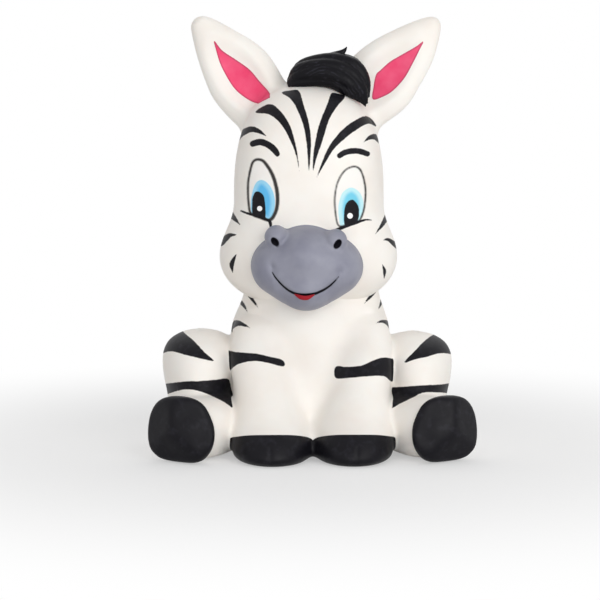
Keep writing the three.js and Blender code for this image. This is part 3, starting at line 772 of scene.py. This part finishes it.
foreheadAreas = {
    "crownRight": [
        (-16.6, 96.5), (-14.2, 98.4), (-11.8, 98.8), (-9.2, 96.7), (-6.7, 92.9), (-5.3, 88.5), (-4.4, 84.2),
        (-3.9, 79.4), (-4.9, 84.2), (-6.5, 88.3), (-8.4, 91.9), (-10.6, 94.5), (-13.1, 96.0),
    ],
    "middleRight": [
        (-9.0, 102.2), (-6.4, 102.9), (-4.0, 102.7), (-2.7, 98.9), (-1.2, 93.7), (-0.5, 88.5), (-0.7, 83.6),
        (-1.1, 79.6), (-1.5, 84.0), (-1.8, 87.6), (-2.8, 92.9), (-4.9, 98.1), (-6.7, 100.6),
    ],
    "middleLeft": [
        (5.4, 102.0), (7.4, 101.9), (9.4, 101.1), (6.9, 98.0), (4.8, 94.5), (2.9, 88.5), (1.1, 83.3),
        (0.1, 79.4), (0.1, 83.3), (0.8, 88.5), (2.1, 93.7), (4.2, 98.9),
    ],
    "crownLeft": [
        (18.4, 92.4), (17.4, 94.2), (15.6, 95.4), (13.4, 94.8), (9.9, 92.6), (6.6, 89.3), (3.9, 85.0),
        (1.1, 77.6), (3.8, 82.2), (6.1, 85.8), (9.2, 88.8), (12.6, 91.4), (16.0, 93.2),
    ],
}
forelegAreas = {
    "forelegRight": [
        (-26.2, 27.2), (-22.0, 27.0), (-16.2, 26.5), (-12.6, 25.7), (-9.4, 25.0), (-8.1, 23.9),
        (-8.3, 23.0), (-9.4, 22.9), (-12.8, 23.8), (-16.8, 24.4), (-20.6, 23.8), (-23.0, 22.6),
        (-25.4, 19.8), (-27.0, 21.0),
    ],
    "forelegLeft": [
        (6.2, 21.4), (7.0, 22.9), (10.0, 22.7), (14.0, 23.1), (17.6, 24.6), (20.2, 25.4), (22.6, 25.2),
        (24.6, 24.4), (24.6, 19.0), (22.8, 18.4), (20.9, 19.9), (18.0, 20.1), (14.0, 19.8), (10.2, 19.5),
        (6.8, 19.4),
    ],
}
thighAreas = {
    "thighRightTop": [
        (-46.6, 25.6), (-46.4, 30.0), (-42.2, 33.6), (-39.2, 34.2), (-36.8, 32.2), (-34.4, 30.2),
        (-31.4, 27.0), (-28.7, 24.5), (-32.0, 25.0), (-37.0, 26.2), (-41.6, 27.2),
    ],
    "thighRightLow": [
        (-46.0, 17.0), (-38.0, 18.4), (-33.0, 18.6), (-28.0, 19.0), (-24.6, 19.2), (-23.6, 16.4),
        (-22.4, 10.6), (-25.6, 12.4), (-29.6, 14.4), (-34.0, 15.9), (-38.2, 16.0), (-45.6, 14.0),
    ],
    "thighLeftTop": [
        (26.4, 23.9), (29.6, 27.4), (32.6, 30.4), (35.6, 32.2), (38.4, 31.0), (43.0, 28.4), (43.4, 26.0),
        (37.4, 26.7), (33.0, 25.6), (29.4, 24.8),
    ],
    "thighLeftLow": [
        (22.0, 16.4), (27.0, 17.0), (32.6, 17.4), (37.0, 17.6), (43.0, 18.2), (43.2, 15.0), (36.4, 15.3),
        (32.0, 15.2), (28.6, 13.6), (25.6, 12.2), (22.4, 10.6), (21.6, 13.0),
    ],
}
# round the trunk and the head: degrees from the front, height, width
backStrokes = {
    "rump": [(112, 13.0, -0.2), (128, 14.6, 2.0), (150, 17.0, 3.2), (170, 19.8, 3.6), (176, 20.8, 0.4)],
    "back": [(98, 23.4, -0.2), (120, 25.4, 2.2), (148, 28.4, 3.2), (170, 31.2, 3.4), (176, 32.2, 0.4)],
    "shoulder": [
        (80, 33.2, 1.4), (92, 34.2, 2.0), (105, 36.0, 2.4), (140, 38.8, 3.0), (170, 41.0, 3.2),
        (176, 41.6, 0.4),
    ],
}
headStrokes = {
    "jaw": [(104, 51.4, -0.2), (122, 52.8, 1.8), (146, 54.2, 2.8), (172, 56.4, 3.2)],
    "cheek": [(88, 60.4, -0.2), (108, 61.0, 2.4), (140, 63.8, 3.2), (172, 65.2, 3.4)],
    "eye": [(92, 70.2, -0.2), (112, 72.2, 2.4), (140, 73.8, 3.2), (172, 76.2, 3.6)],
    "ear": [(104, 79.4, -0.2), (122, 81.2, 2.0), (146, 84.4, 3.0), (172, 86.0, 3.6)],
    "temple": [(99, 89.0, -0.2), (116, 90.6, 2.2), (138, 93.0, 3.0), (170, 95.8, 3.4)],
}
eyes = {
    "right": {
        "outline": [
            (-16.3, 82.8), (-14.7, 82.6), (-13.5, 81.4), (-12.0, 79.0), (-11.0, 76.4), (-10.3, 73.1),
            (-10.3, 69.7), (-11.1, 66.9), (-12.5, 65.3), (-14.7, 65.8), (-17.9, 67.2), (-18.6, 70.2),
            (-18.8, 73.4), (-18.7, 76.6), (-18.1, 79.8), (-17.4, 82.0),
        ],
        "line": (0.33, 0.56),  # half width of its line, where x is least and most
        "iris": [
            (-15.7, 76.7), (-13.9, 76.6), (-11.9, 74.4), (-11.0, 71.1), (-11.3, 67.6), (-12.5, 65.0),
            (-15.5, 65.4), (-17.6, 66.8), (-17.9, 71.1), (-17.0, 75.0),
        ],
        "pupil": [
            (-15.9, 73.6), (-14.3, 72.4), (-13.8, 69.7), (-14.0, 65.6), (-17.2, 66.6), (-17.6, 70.4),
            (-17.1, 72.8),
        ],
        "glint": (-15.4, 68.6, 0.75),
    },
    "left": {
        "outline": [
            (11.9, 80.8), (13.8, 79.8), (15.0, 76.3), (15.3, 72.4), (14.7, 67.9), (13.3, 64.9),
            (10.8, 64.2), (7.6, 63.6), (6.6, 67.3), (6.4, 72.0), (7.3, 76.4), (9.3, 79.6),
        ],
        "line": (0.26, 0.28),
        "iris": [
            (11.7, 74.6), (13.7, 73.1), (14.7, 70.2), (14.3, 66.8), (12.8, 64.6), (8.6, 63.2), (7.6, 65.9),
            (7.5, 69.7), (8.5, 72.9), (10.0, 74.3),
        ],
        "pupil": [
            (11.4, 71.2), (12.8, 70.1), (13.4, 68.2), (13.1, 65.2), (11.4, 64.2), (9.3, 63.6), (9.1, 67.6),
            (9.8, 70.2),
        ],
        "glint": (10.8, 66.5, 0.82),
    },
}


brushing = {
    "trunkAxis": (toyMiddle, 5.0),
    "radius": 22.0,  # a degree round the trunk or head counts as if it had this radius
    "frontWidth": 80,  # degrees from the front from where the front's strokes run out
    "frontTaper": 0.08,  # by this much on each side for each degree more
    "facing": -0.3,  # the front's paint ends where the surface turns this far from the camera (cosine)
    "edgeDrift": 1.1,  # mm between the wobbles of a hand-painted edge
    "thighY": 4.0,  # the thighs' bands run to a point behind this
    "thighTaper": 0.18,
}


def roundabout(p, axis):
    # degrees from the front, the same on both sides, and height
    x, y = p[:, 0] - axis[0], p[:, 1] - axis[1]
    return np.stack([np.abs(np.degrees(np.arctan2(x, -y))), p[:, 2]], 1)


def wrapDistance(around, rows):
    # strokes given in degrees are measured along the surface
    k = math.radians(1) * brushing["radius"]
    scaled = [(degrees * k, z, width) for degrees, z, width in rows]
    return strokeDistance(around * np.array([k, 1.0]), scaled)


def stripesOn(p, normals, onHead):
    uv = seen(p)
    wraps, axis = (headStrokes, head["middle"]) if onHead else (backStrokes, brushing["trunkAxis"])
    around = roundabout(upright(p) if onHead else p, axis)
    front = np.full(len(p), farOff)
    for rows in (faceStrokes if onHead else neckStrokes).values():
        front = np.minimum(front, strokeDistance(uv, rows))
    front = front + brushing["frontTaper"] * np.maximum(around[:, 0] - brushing["frontWidth"], 0)
    if onHead:
        for corners in foreheadAreas.values():
            front = np.minimum(front, areaDistance(uv, corners))
    else:
        fore = np.minimum(forelegShape(p, -1), forelegShape(p, 1))
        hindmost = np.minimum(hindShape(p, "right"), hindShape(p, "left"))
        trunkOnly = trunkShape(p) - hindmost
        front = np.maximum(front, np.minimum(trunkOnly, fore - hindmost))
        for corners in forelegAreas.values():
            front = np.minimum(front, np.maximum(areaDistance(uv, corners), fore - hindmost))
    toCamera = eyePoint - p
    facing = (toCamera * normals).sum(1) / lengths(toCamera)
    value = np.where(facing > brushing["facing"], front, farOff)
    if not onHead:
        taper = brushing["thighTaper"] * np.maximum(p[:, 1] - brushing["thighY"], 0)
        for corners in thighAreas.values():
            value = np.minimum(value, np.maximum(areaDistance(uv, corners) + taper, hindmost - fore))
    for name, rows in wraps.items():
        stroke = wrapDistance(around, rows)
        if name == "shoulder":
            stroke = np.maximum(stroke, trunkOnly)  # over the thighs, not on them
        value = np.minimum(value, stroke)
    return value


# Materials


def toLinear(hexColour):
    parts = [int(hexColour[i:i + 2], 16) / 255 for i in (1, 3, 5)]
    return [c / 12.92 if c <= 0.04045 else ((c + 0.055) / 1.055) ** 2.4 for c in parts] + [1.0]


def addNode(tree, kind, inputs=None, out=0, **settings):
    # inputs: a socket's name or number, with a value or another node's output; gives the output asked for
    node = tree.nodes.new("ShaderNode" + kind)
    for key, value in settings.items():
        setattr(node, key, value)
    for key, value in (inputs or {}).items():
        if isinstance(value, bpy.types.NodeSocket):
            tree.links.new(value, node.inputs[key])
        else:
            node.inputs[key].default_value = value
    return node.outputs[out] if len(node.outputs) else None


def newMaterial(name):
    # with its node tree, and the place on the toy in metres
    material = bpy.data.materials.new(name)
    material.use_nodes = True
    tree = material.node_tree
    tree.nodes.clear()
    return material, tree, addNode(tree, "TexCoord", out=3)


foamFinish = {
    "tones": ("#F4F0EA", "#EEE7DF"),
    "cloud": 14.0,  # mm across a patch of slightly different tone
    "film": (0.42, 0.78),  # how the noise is shared out between the two tones
    "detail": 4.0,
    "roughness": 0.62,
    "ior": 1.48,
    "gloss": 0.4,
    "pore": 0.45,  # mm; the real pores are finer and would not show
    "swell": 6.0,  # mm
    "swellShare": 3.0,
    "relief": 0.02,  # mm
    "reliefStrength": 0.55,
    "paintRise": 2.0,
    "scatter": 0.12,
    "scatterTint": (1.0, 0.72, 0.56),
    "scatterDepth": 1.2,  # mm
}
blackPaint = {
    "tones": ("#121116", "#26252C"),  # as painted and worn
    "cloud": 1.6,  # mm, the size of the brush's streaks and thin spots
    "film": (0.5, 0.85),
    "detail": 4.0,
    "smile": "#0B0A10",
    "roughness": (0.36, 0.52),
    "stripeRoughness": 0.5,
    "gloss": 0.14,  # the film is porous, so little of its gloss is left
}
hoofPaint = {"tones": blackPaint["tones"], "cloud": 2.4, "film": (0.52, 0.85), "detail": 5.0}
eyePaint = {
    "white": "#F3F0EC",
    "line": "#2B2725",  # thinned, so its edges are soft
    "iris": {"right": ("#9AD6F3", "#5FBAEB"), "left": ("#BFE9F0", "#74CCE5")},  # at its edge and inside
    "irisFade": (-0.7, -1.7),  # mm inside its edge, from the one to the other
    "glint": "#FFFFFF",
}
hairPaint = {
    "tones": ("#0B0A0F", "#2C2B33"),  # as painted and rubbed
    "cloud": 2.0,  # mm
    "rub": (0.58, 0.95),
    "combPitch": 1.0,  # mm between the comb's fine lines
    "combDrift": (4.0, 2.4),  # mm; over the first the lines wander by the second
    "combFaint": (5.0, 0.38, 0.66),  # mm across a patch where the lines fade, and the noise they fade between
    "combRise": 0.22,
}
greyPaint = {
    "tones": ("#9293A0", "#7C7D8D"),
    "cloud": 7.0,
    "film": (0.35, 0.8),
    "detail": 3.0,
    "roughness": 0.52,
    "gloss": 0.45,
    "smileGloss": 0.05,
}
pinkPaint = {
    "tones": ("#EC4872", "#F16487"),
    "cloud": 5.0,
    "film": (0.3, 0.8),
    "detail": 3.0,
    "rim": "#9A3852",
    "rimFade": (-0.5, -0.1),  # mm inside its edge
    "rimShare": 0.6,
    "roughness": 0.55,
    "gloss": 0.15,
}
redPaint = {
    "tones": ("#8C1620", "#A3222D"),
    "cloud": 1.4,
    "film": (0.3, 0.8),
    "detail": 3.0,
    "roughness": 0.45,
    "gloss": 0.15,
}


def paintOver(tree, place, under, paint, colour, softness=0.09, wander=0.12):
    # lays a paint on what is under it, up to the edge that the mesh carries under the paint's name;
    # a hand-painted edge wanders a little; gives the colour, and the paint's mask
    away = addNode(tree, "Attribute", out=2, attribute_name=paint)
    drift = addNode(tree, "TexNoise", {"Vector": place, "Scale": 1 / (brushing["edgeDrift"] * mm)})
    edge = addNode(tree, "Math", {0: drift, 1: wander * 2, 2: -wander}, operation="MULTIPLY_ADD")
    edge = addNode(tree, "Math", {0: away, 1: edge}, operation="ADD")
    mask = addNode(tree, "MapRange", {0: edge, 1: softness, 2: -softness})
    return addNode(tree, "Mix", {0: mask, 6: under, 7: colour}, out=2, data_type="RGBA"), mask


def streaks(tree, place, paint):
    # two tones of one paint, mixed as its film is thick or thin
    inputs = {"Vector": place, "Scale": 1 / (paint["cloud"] * mm), "Detail": paint["detail"]}
    film = addNode(tree, "TexNoise", inputs)
    low, high = paint["film"]
    share = addNode(tree, "MapRange", {0: film, 1: low, 2: high})
    first, second = (toLinear(tone) for tone in paint["tones"])
    return addNode(tree, "Mix", {0: share, 6: first, 7: second}, out=2, data_type="RGBA")


def foamSurface(tree, place, colour, roughness, gloss, height=None, extra=None):
    # the foam's own fine relief, which shows through every paint on it
    inputs = {"Vector": place, "Scale": 1 / (foamFinish["pore"] * mm), "Detail": 3.0, "Roughness": 0.6}
    pores = addNode(tree, "TexNoise", inputs)
    swell = addNode(tree, "TexNoise", {"Vector": place, "Scale": 1 / (foamFinish["swell"] * mm)})
    inputs = {0: swell, 1: foamFinish["swellShare"], 2: pores}
    relief = addNode(tree, "Math", inputs, operation="MULTIPLY_ADD")
    if height is not None:
        inputs = {0: height, 1: foamFinish["paintRise"], 2: relief}
        relief = addNode(tree, "Math", inputs, operation="MULTIPLY_ADD")
    inputs = {"Strength": foamFinish["reliefStrength"], "Height": relief}
    bump = addNode(tree, "Bump", {**inputs, "Distance": foamFinish["relief"] * mm})
    inputs = {"Base Color": colour, "Roughness": roughness, "Specular IOR Level": gloss, "Normal": bump}
    inputs["IOR"] = foamFinish["ior"]
    shader = addNode(tree, "BsdfPrincipled", {**inputs, **(extra or {})})
    addNode(tree, "OutputMaterial", {"Surface": shader})


def makeFoam():
    # slow-rising polyurethane foam with a moulded skin: matt, very finely pored, a little uneven in colour,
    # with the eyes and the black of the stripes brushed on
    material, tree, place = newMaterial("slowRisingFoam")
    colour = streaks(tree, place, foamFinish)
    colour, _ = paintOver(tree, place, colour, "eyeWhite", toLinear(eyePaint["white"]), wander=0.04)
    for side in sides:
        iris = "iris" + side.title()
        first, last = eyePaint["irisFade"]
        depth = addNode(tree, "Attribute", out=2, attribute_name=iris)
        depth = addNode(tree, "MapRange", {0: depth, 1: first, 2: last})
        pale, deep = (toLinear(tone) for tone in eyePaint["iris"][side])
        blue = addNode(tree, "Mix", {0: depth, 6: pale, 7: deep}, out=2, data_type="RGBA")
        colour, _ = paintOver(tree, place, colour, iris, blue, wander=0.04)
    colour, _ = paintOver(tree, place, colour, "eyeLine", toLinear(eyePaint["line"]), 0.2, 0.08)
    colour, black = paintOver(tree, place, colour, "stripes", streaks(tree, place, blackPaint))
    colour, _ = paintOver(tree, place, colour, "glint", toLinear(eyePaint["glint"]), 0.07, 0.0)
    inputs = {0: black, 3: foamFinish["roughness"], 4: blackPaint["stripeRoughness"]}
    roughness = addNode(tree, "MapRange", inputs)
    gloss = addNode(tree, "MapRange", {0: black, 3: foamFinish["gloss"], 4: blackPaint["gloss"]})
    skin = {
        "Subsurface Weight": foamFinish["scatter"],
        "Subsurface Radius": foamFinish["scatterTint"],
        "Subsurface Scale": foamFinish["scatterDepth"] * mm,
    }
    foamSurface(tree, place, colour, roughness, gloss, black, skin)
    return material


def makeBlack():
    # black flexible paint on foam: satin, with brush drag and rubbed high spots
    material, tree, place = newMaterial("blackFlexiblePaint")
    colour = streaks(tree, place, hoofPaint)
    inputs = {"Vector": place, "Scale": 1 / (blackPaint["cloud"] * mm), "Detail": 3.0}
    drag = addNode(tree, "TexNoise", inputs)
    low, high = blackPaint["roughness"]
    roughness = addNode(tree, "MapRange", {0: drag, 1: 0.2, 2: 0.8, 3: low, 4: high})
    foamSurface(tree, place, colour, roughness, blackPaint["gloss"], drag)
    return material


def makeCombed():
    # black flexible paint over moulded hair: satin, with fine lines that the comb left along the strands
    material, tree, place = newMaterial("combedBlackPaint")
    size, wander = hairPaint["combDrift"]
    drift = addNode(tree, "TexNoise", {"Vector": place, "Scale": 1 / (size * mm)})
    comb = addNode(tree, "Attribute", out=2, attribute_name="comb")
    comb = addNode(tree, "Math", {0: drift, 1: wander, 2: comb}, operation="MULTIPLY_ADD")
    comb = addNode(tree, "Math", {0: comb, 1: 2 * math.pi / hairPaint["combPitch"]}, operation="MULTIPLY")
    wave = addNode(tree, "Math", {0: comb}, operation="SINE")
    size, low, high = hairPaint["combFaint"]
    faint = addNode(tree, "TexNoise", {"Vector": place, "Scale": 1 / (size * mm)})
    faint = addNode(tree, "MapRange", {0: faint, 1: low, 2: high})
    wave = addNode(tree, "Math", {0: wave, 1: faint}, operation="MULTIPLY")
    film = addNode(tree, "TexNoise", {"Vector": place, "Scale": 1 / (hairPaint["cloud"] * mm), "Detail": 4.0})
    film = addNode(tree, "Math", {0: wave, 1: hairPaint["combRise"], 2: film}, operation="MULTIPLY_ADD")
    low, high = hairPaint["rub"]
    rub = addNode(tree, "MapRange", {0: film, 1: low, 2: high})
    painted, rubbed = (toLinear(tone) for tone in hairPaint["tones"])
    inputs = {0: rub, 6: painted, 7: rubbed}
    colour = addNode(tree, "Mix", inputs, out=2, data_type="RGBA")
    low, high = blackPaint["roughness"]
    roughness = addNode(tree, "MapRange", {0: film, 1: 0.2, 2: 0.8, 3: low, 4: high})
    foamSurface(tree, place, colour, roughness, blackPaint["gloss"], wave)
    return material


def makeGrey():
    # blue-grey flexible paint: satin, thinner on the high spots; smile and nostrils are brushed on in black
    material, tree, place = newMaterial("greyFlexiblePaint")
    colour = streaks(tree, place, greyPaint)
    colour, black = paintOver(tree, place, colour, "stripes", toLinear(blackPaint["smile"]), 0.12, 0.06)
    gloss = addNode(tree, "MapRange", {0: black, 3: greyPaint["gloss"], 4: greyPaint["smileGloss"]})
    foamSurface(tree, place, colour, greyPaint["roughness"], gloss)
    return material


def makePink():
    # pink flexible paint, sprayed thin in the ears: satin, darker along its edge
    material, tree, place = newMaterial("pinkFlexiblePaint")
    colour = streaks(tree, place, pinkPaint)
    edge = addNode(tree, "Attribute", out=2, attribute_name="edge")
    start, end = pinkPaint["rimFade"]
    rim = addNode(tree, "MapRange", {0: edge, 1: start, 2: end, 4: pinkPaint["rimShare"]})
    colour = addNode(tree, "Mix", {0: rim, 6: colour, 7: toLinear(pinkPaint["rim"])}, out=2, data_type="RGBA")
    foamSurface(tree, place, colour, pinkPaint["roughness"], pinkPaint["gloss"])
    return material


def makeRed():
    # deep red flexible paint, a single dab: satin
    material, tree, place = newMaterial("redFlexiblePaint")
    colour = streaks(tree, place, redPaint)
    foamSurface(tree, place, colour, redPaint["roughness"], redPaint["gloss"])
    return material


foam = makeFoam()
black = makeBlack()
combed = makeCombed()
grey = makeGrey()
pink = makePink()
red = makeRed()
print("materials made")

# Pieces


def makePiece(name, mesh, material, nodes, values=None):
    points, tris = mesh
    data = bpy.data.meshes.new(name)
    data.vertices.add(len(points))
    data.vertices.foreach_set("co", (points * mm).astype(np.float32).ravel())
    data.loops.add(tris.size)
    data.loops.foreach_set("vertex_index", tris.astype(np.int32).ravel())
    data.polygons.add(len(tris))
    data.polygons.foreach_set("loop_start", np.arange(0, tris.size, 3, dtype=np.int32))
    data.update(calc_edges=True)
    data.validate()
    data.shade_smooth()
    for key, numbers in (values or {}).items():
        layer = data.attributes.new(key, "FLOAT", "POINT")
        layer.data.foreach_set("value", numbers.astype(np.float32))
    data.materials.append(material)
    piece = bpy.data.objects.new(name, data)
    scene.collection.objects.link(piece)
    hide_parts(*nodes)
    return piece


def bend(piece):
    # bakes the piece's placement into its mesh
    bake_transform(piece)


def asFoam(piece, body, upper=None):
    # foam right through, which rides on a body; given a next body, its placement is only baked into its mesh
    if upper:
        bend(piece)
    else:
        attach(piece, body)


def normalsOf(mesh):
    points, tris = mesh
    faces = np.cross(points[tris[:, 1]] - points[tris[:, 0]], points[tris[:, 2]] - points[tris[:, 0]])
    total = np.stack([np.bincount(tris.ravel(), np.repeat(faces[:, i], 3), len(points)) for i in range(3)], 1)
    return total / np.maximum(lengths(total), 1e-9)[:, None]


grids = {
    "body": ((-54, -46, -4), (54, 50, 62), 0.5, 1.0),
    "head": ((-44, -38, 36), (46, 28, 130), 0.32, 0.8),
    "forelock": ((-8, -12, 96), (20, 10, 117), 0.3, 0.6),
    "head_mane": ((-7, 2, 48), (7, 34, 112), 0.35, 0.7),
    "tail_tuft": ((-7, 38, 0.2), (6, 54, 11), 0.3, 0.6),
    "tongue": ((-5, -35, 43), (4, -23, 50), 0.2, 0.2),
}
bodyMesh = meshOf(bodyShape, grids["body"])
headMesh = meshOf(headShape, grids["head"])
print("skins made:", len(bodyMesh[0]), "and", len(headMesh[0]), "points")


def pinkZone(p, side):
    # distance outside the ear's pink paint
    r = inEar(upright(p), side)
    start, taper = ear["pinkTaper"]
    zone = areaDistance(r[:, [0, 2]], ear["pink"][side]) + taper * np.maximum(start - r[:, 1], 0)
    return np.where((r[:, 1] < ear["pinkBack"]) & (r[:, 2] > ear["pinkFoot"]), zone, farOff)


def foreHoofZone(p, side):
    # distance outside the paint of a fore hoof, whose upper edge dips to both sides
    aside = (p[:, 0] - toyMiddle) * sides[side]
    ends = (aside - foreleg["hoofOut"]) / foreleg["hoofHalf"]
    square, fourth = foreleg["hoofDip"]
    top = p[:, 2] - foreleg["hoofTop"] + square * ends ** 2 + fourth * ends ** 4
    zone = np.maximum(top, p[:, 1] - foreleg["hoofBack"])
    zone = np.maximum(zone, -0.01 - aside)  # the two hooves share an edge
    return np.maximum(zone, forelegShape(p, sides[side]) - hindShape(p, side))


# the head's skin, parted into ears, their pink, the muzzle and the rest
restOfHead = headMesh
ears, linings = {}, {}
for side in sides:
    linings[side], restOfHead = cut(restOfHead, pinkZone(restOfHead[0], side))
    r = inEar(upright(restOfHead[0]), side)
    ears[side], restOfHead = cut(restOfHead, ear["bend"][0] - r[:, 2])
q = upright(restOfHead[0])
muzzleEdge = np.where(q[:, 1] < muzzle["back"], muzzleShape(q) - skullShape(q), farOff)
muzzleMesh, restOfHead = cut(restOfHead, muzzleEdge)

# the body's skin, parted into tail, hooves, belly, chest and neck
restOfBody = bodyMesh
tailMesh, restOfBody = cut(restOfBody, tail["bend"][0][1] - restOfBody[0][:, 1])
hooves = {}
for side in sides:
    q = inFoot(restOfBody[0], side)
    inFront = np.maximum(q[:, 1] - hind["hoofBack"], lengths(q) - hind["hoofReach"])
    hooves[side + "_hind_hoof"], restOfBody = cut(restOfBody, inFront)
for side in sides:
    hooves[side + "_fore_hoof"], restOfBody = cut(restOfBody, foreHoofZone(restOfBody[0], side))
bellyMesh, restOfBody = cut(restOfBody, restOfBody[0][:, 2] - trunk["chestHeight"])
chestMesh, neckMesh = cut(restOfBody, restOfBody[0][:, 2] - trunk["neckHeight"])


def eyeValues(p):
    # distances outside each paint of the eyes
    uv = seen(p)
    names = ("eyeWhite", "eyeLine", "irisRight", "irisLeft", "pupil", "glint")
    values = {name: np.full(len(p), farOff) for name in names}
    for side, eye in eyes.items():
        outline = areaDistance(uv, eye["outline"])
        corners = np.array(eye["outline"])[:, 0]
        width = np.interp(uv[:, 0], (corners.min(), corners.max()), eye["line"])
        x, z, radius = eye["glint"]
        parts = {
            "eyeWhite": outline,
            "eyeLine": np.abs(outline) - width,
            "iris" + side.title(): np.maximum(areaDistance(uv, eye["iris"]), outline),
            "pupil": np.maximum(areaDistance(uv, eye["pupil"]), outline),
            "glint": lengths(uv - np.array([x, z])) - radius,
        }
        for name, away in parts.items():
            values[name] = np.minimum(values[name], away)
    return values


def skinPiece(name, mesh, nodes, onHead=False):
    # foam with its stripes, and the eyes where it faces forwards
    p, normals = mesh[0], normalsOf(mesh)
    front = onHead & (normals[:, 1] < -0.2)
    values = {paint: np.where(front, away, farOff) for paint, away in eyeValues(p).items()}
    values["stripes"] = np.minimum(stripesOn(p, normals, onHead), values.pop("pupil"))
    return makePiece(name, mesh, foam, nodes, values)


legs = [side + form for form in ("_foreleg", "_thigh", "_hind_foot") for side in sides]
asFoam(skinPiece("belly_skin", bellyMesh, ["belly"] + legs), "seat", "chest")
asFoam(skinPiece("chest_skin", chestMesh, ["chest"]), "chest", "neck")
asFoam(skinPiece("neck_skin", neckMesh, ["neck"]), "neck", "head")
asFoam(skinPiece("head_skin", restOfHead, ["head"], True), "head")
for side, out in sides.items():
    shell = skinPiece(side + "_ear_skin", ears[side], [side + "_ear"], True)
    asFoam(shell, "head", side + "_ear")
    rim = {"edge": pinkZone(linings[side][0], side)}
    lining = makePiece(side + "_ear_pink", linings[side], pink, [side + "_ear_lining"], rim)
    bend(lining)
asFoam(skinPiece("tail_skin", tailMesh, ["tail"]), "seat", "tail")
for side in sides:
    for part in ("_fore_hoof", "_hind_hoof"):
        hoof = makePiece(side + part + "_paint", hooves[side + part], black, [side + part])
        if part == "_fore_hoof":
            asFoam(hoof, "seat")
        else:
            asFoam(hoof, "seat", "chest")
q = upright(muzzleMesh[0])
mouth = smileDistance(q)
for out in sides.values():
    mouth = np.minimum(mouth, nostrilShape(q, out) - muzzle["nostrilPaint"])
snout = makePiece("muzzle_skin", muzzleMesh, grey, ["muzzle", "lower_lip"], {"stripes": mouth})
asFoam(snout, "head")
print("foam pieces made")

hairPieces = {
    # each node with its strands and its body, and the axes and middle of the comb's arcs
    "forelock": (hair["forelock"], "head", [0, 2], (4.0, 99.0)),
    "head_mane": (crestPaths(), "head", [0], (30.0,)),
    "tail_tuft": (tuftPaths(), "tail", [0], (30.0,)),
}
for node, (paths, body, axes, middle) in hairPieces.items():
    points, tris = meshOf(lambda p: strands(p, paths), grids[node])
    comb = {"comb": lengths(points[:, axes] - np.array(middle))}
    if body == "head":
        points = leant(points)
    asFoam(makePiece(node + "_strands", (points, tris), combed, [node], comb), body)
points, tris = meshOf(tongueShape, grids["tongue"])
asFoam(makePiece("tongue_pad", (leant(points), tris), red, ["tongue"]), "head")
print("hair and tongue made")

# Stage and light


def seenDirectly(tree):
    # 1 where the camera looks, also in a reflection or through glass
    rays = ("Is Camera Ray", "Is Glossy Ray", "Is Transmission Ray")
    direct, glossy, glass = (addNode(tree, "LightPath", out=ray) for ray in rays)
    either = addNode(tree, "Math", {0: direct, 1: glossy}, operation="MAXIMUM")
    return addNode(tree, "Math", {0: either, 1: glass}, operation="MAXIMUM")


floorBoard = {
    "radius": 6.0,  # m
    "tone": (0.93, 0.93, 0.93, 1.0),
    "fade": (0.06, 0.19),  # m from the toy's middle: it is seen more and more as the white background
    "nearShare": 0.4,  # what the background's share is already near the toy
}


def makeStage():
    bpy.ops.mesh.primitive_circle_add(vertices=96, radius=floorBoard["radius"], fill_type="NGON")
    floor = bpy.context.object
    floor.name = "paleFloor"
    # matt painted board: pale, and it keeps the toy's soft shadow
    material, tree, place = newMaterial("paleStudioFloor")
    away = addNode(tree, "VectorMath", {0: place}, out=1, operation="LENGTH")
    inputs = {0: away, 1: floorBoard["fade"][0], 2: floorBoard["fade"][1], 3: floorBoard["nearShare"]}
    fade = addNode(tree, "MapRange", inputs, interpolation_type="SMOOTHSTEP")
    matt = addNode(tree, "BsdfDiffuse", {"Color": floorBoard["tone"]})
    glow = addNode(tree, "Emission", {"Color": (1, 1, 1, 1), "Strength": 1.0})
    share = addNode(tree, "Math", {0: fade, 1: seenDirectly(tree)}, operation="MULTIPLY")
    surface = addNode(tree, "MixShader", {0: share, 1: matt, 2: glow})
    addNode(tree, "OutputMaterial", {"Surface": surface})
    floor.data.materials.append(material)


lights = {
    "key": {"place": (0.52, -0.90, 0.36), "size": 0.7, "power": 4.5},
    "fill": {"place": (-0.15, -1.1, 0.06), "size": 1.0, "power": 4.2},
    "back": {"place": (0.1, 0.8, 0.9), "size": 0.8, "power": 1.6},
    "aim": (0, 0, 0.05),
    "room": 0.53,  # strength of the light from all round
}


def makeLights():
    world = bpy.data.worlds.new("studio")
    scene.world = world
    world.use_nodes = True
    tree = world.node_tree
    tree.nodes.clear()
    strength = addNode(tree, "MapRange", {0: seenDirectly(tree), 3: lights["room"]})
    sky = addNode(tree, "Background", {"Color": (1, 1, 1, 1), "Strength": strength})
    addNode(tree, "OutputWorld", {"Surface": sky})
    for name in ("key", "fill", "back"):
        light = lights[name]
        data = bpy.data.lights.new(name, "AREA")
        data.energy = light["power"]
        data.size = light["size"]
        lamp = bpy.data.objects.new(name, data)
        lamp.location = light["place"]
        look = Vector(lights["aim"]) - lamp.location
        lamp.rotation_euler = look.to_track_quat("-Z", "Y").to_euler()
        scene.collection.objects.link(lamp)


makeStage()
makeLights()
scene.view_settings.view_transform = "Standard"
print("stage and lights made")
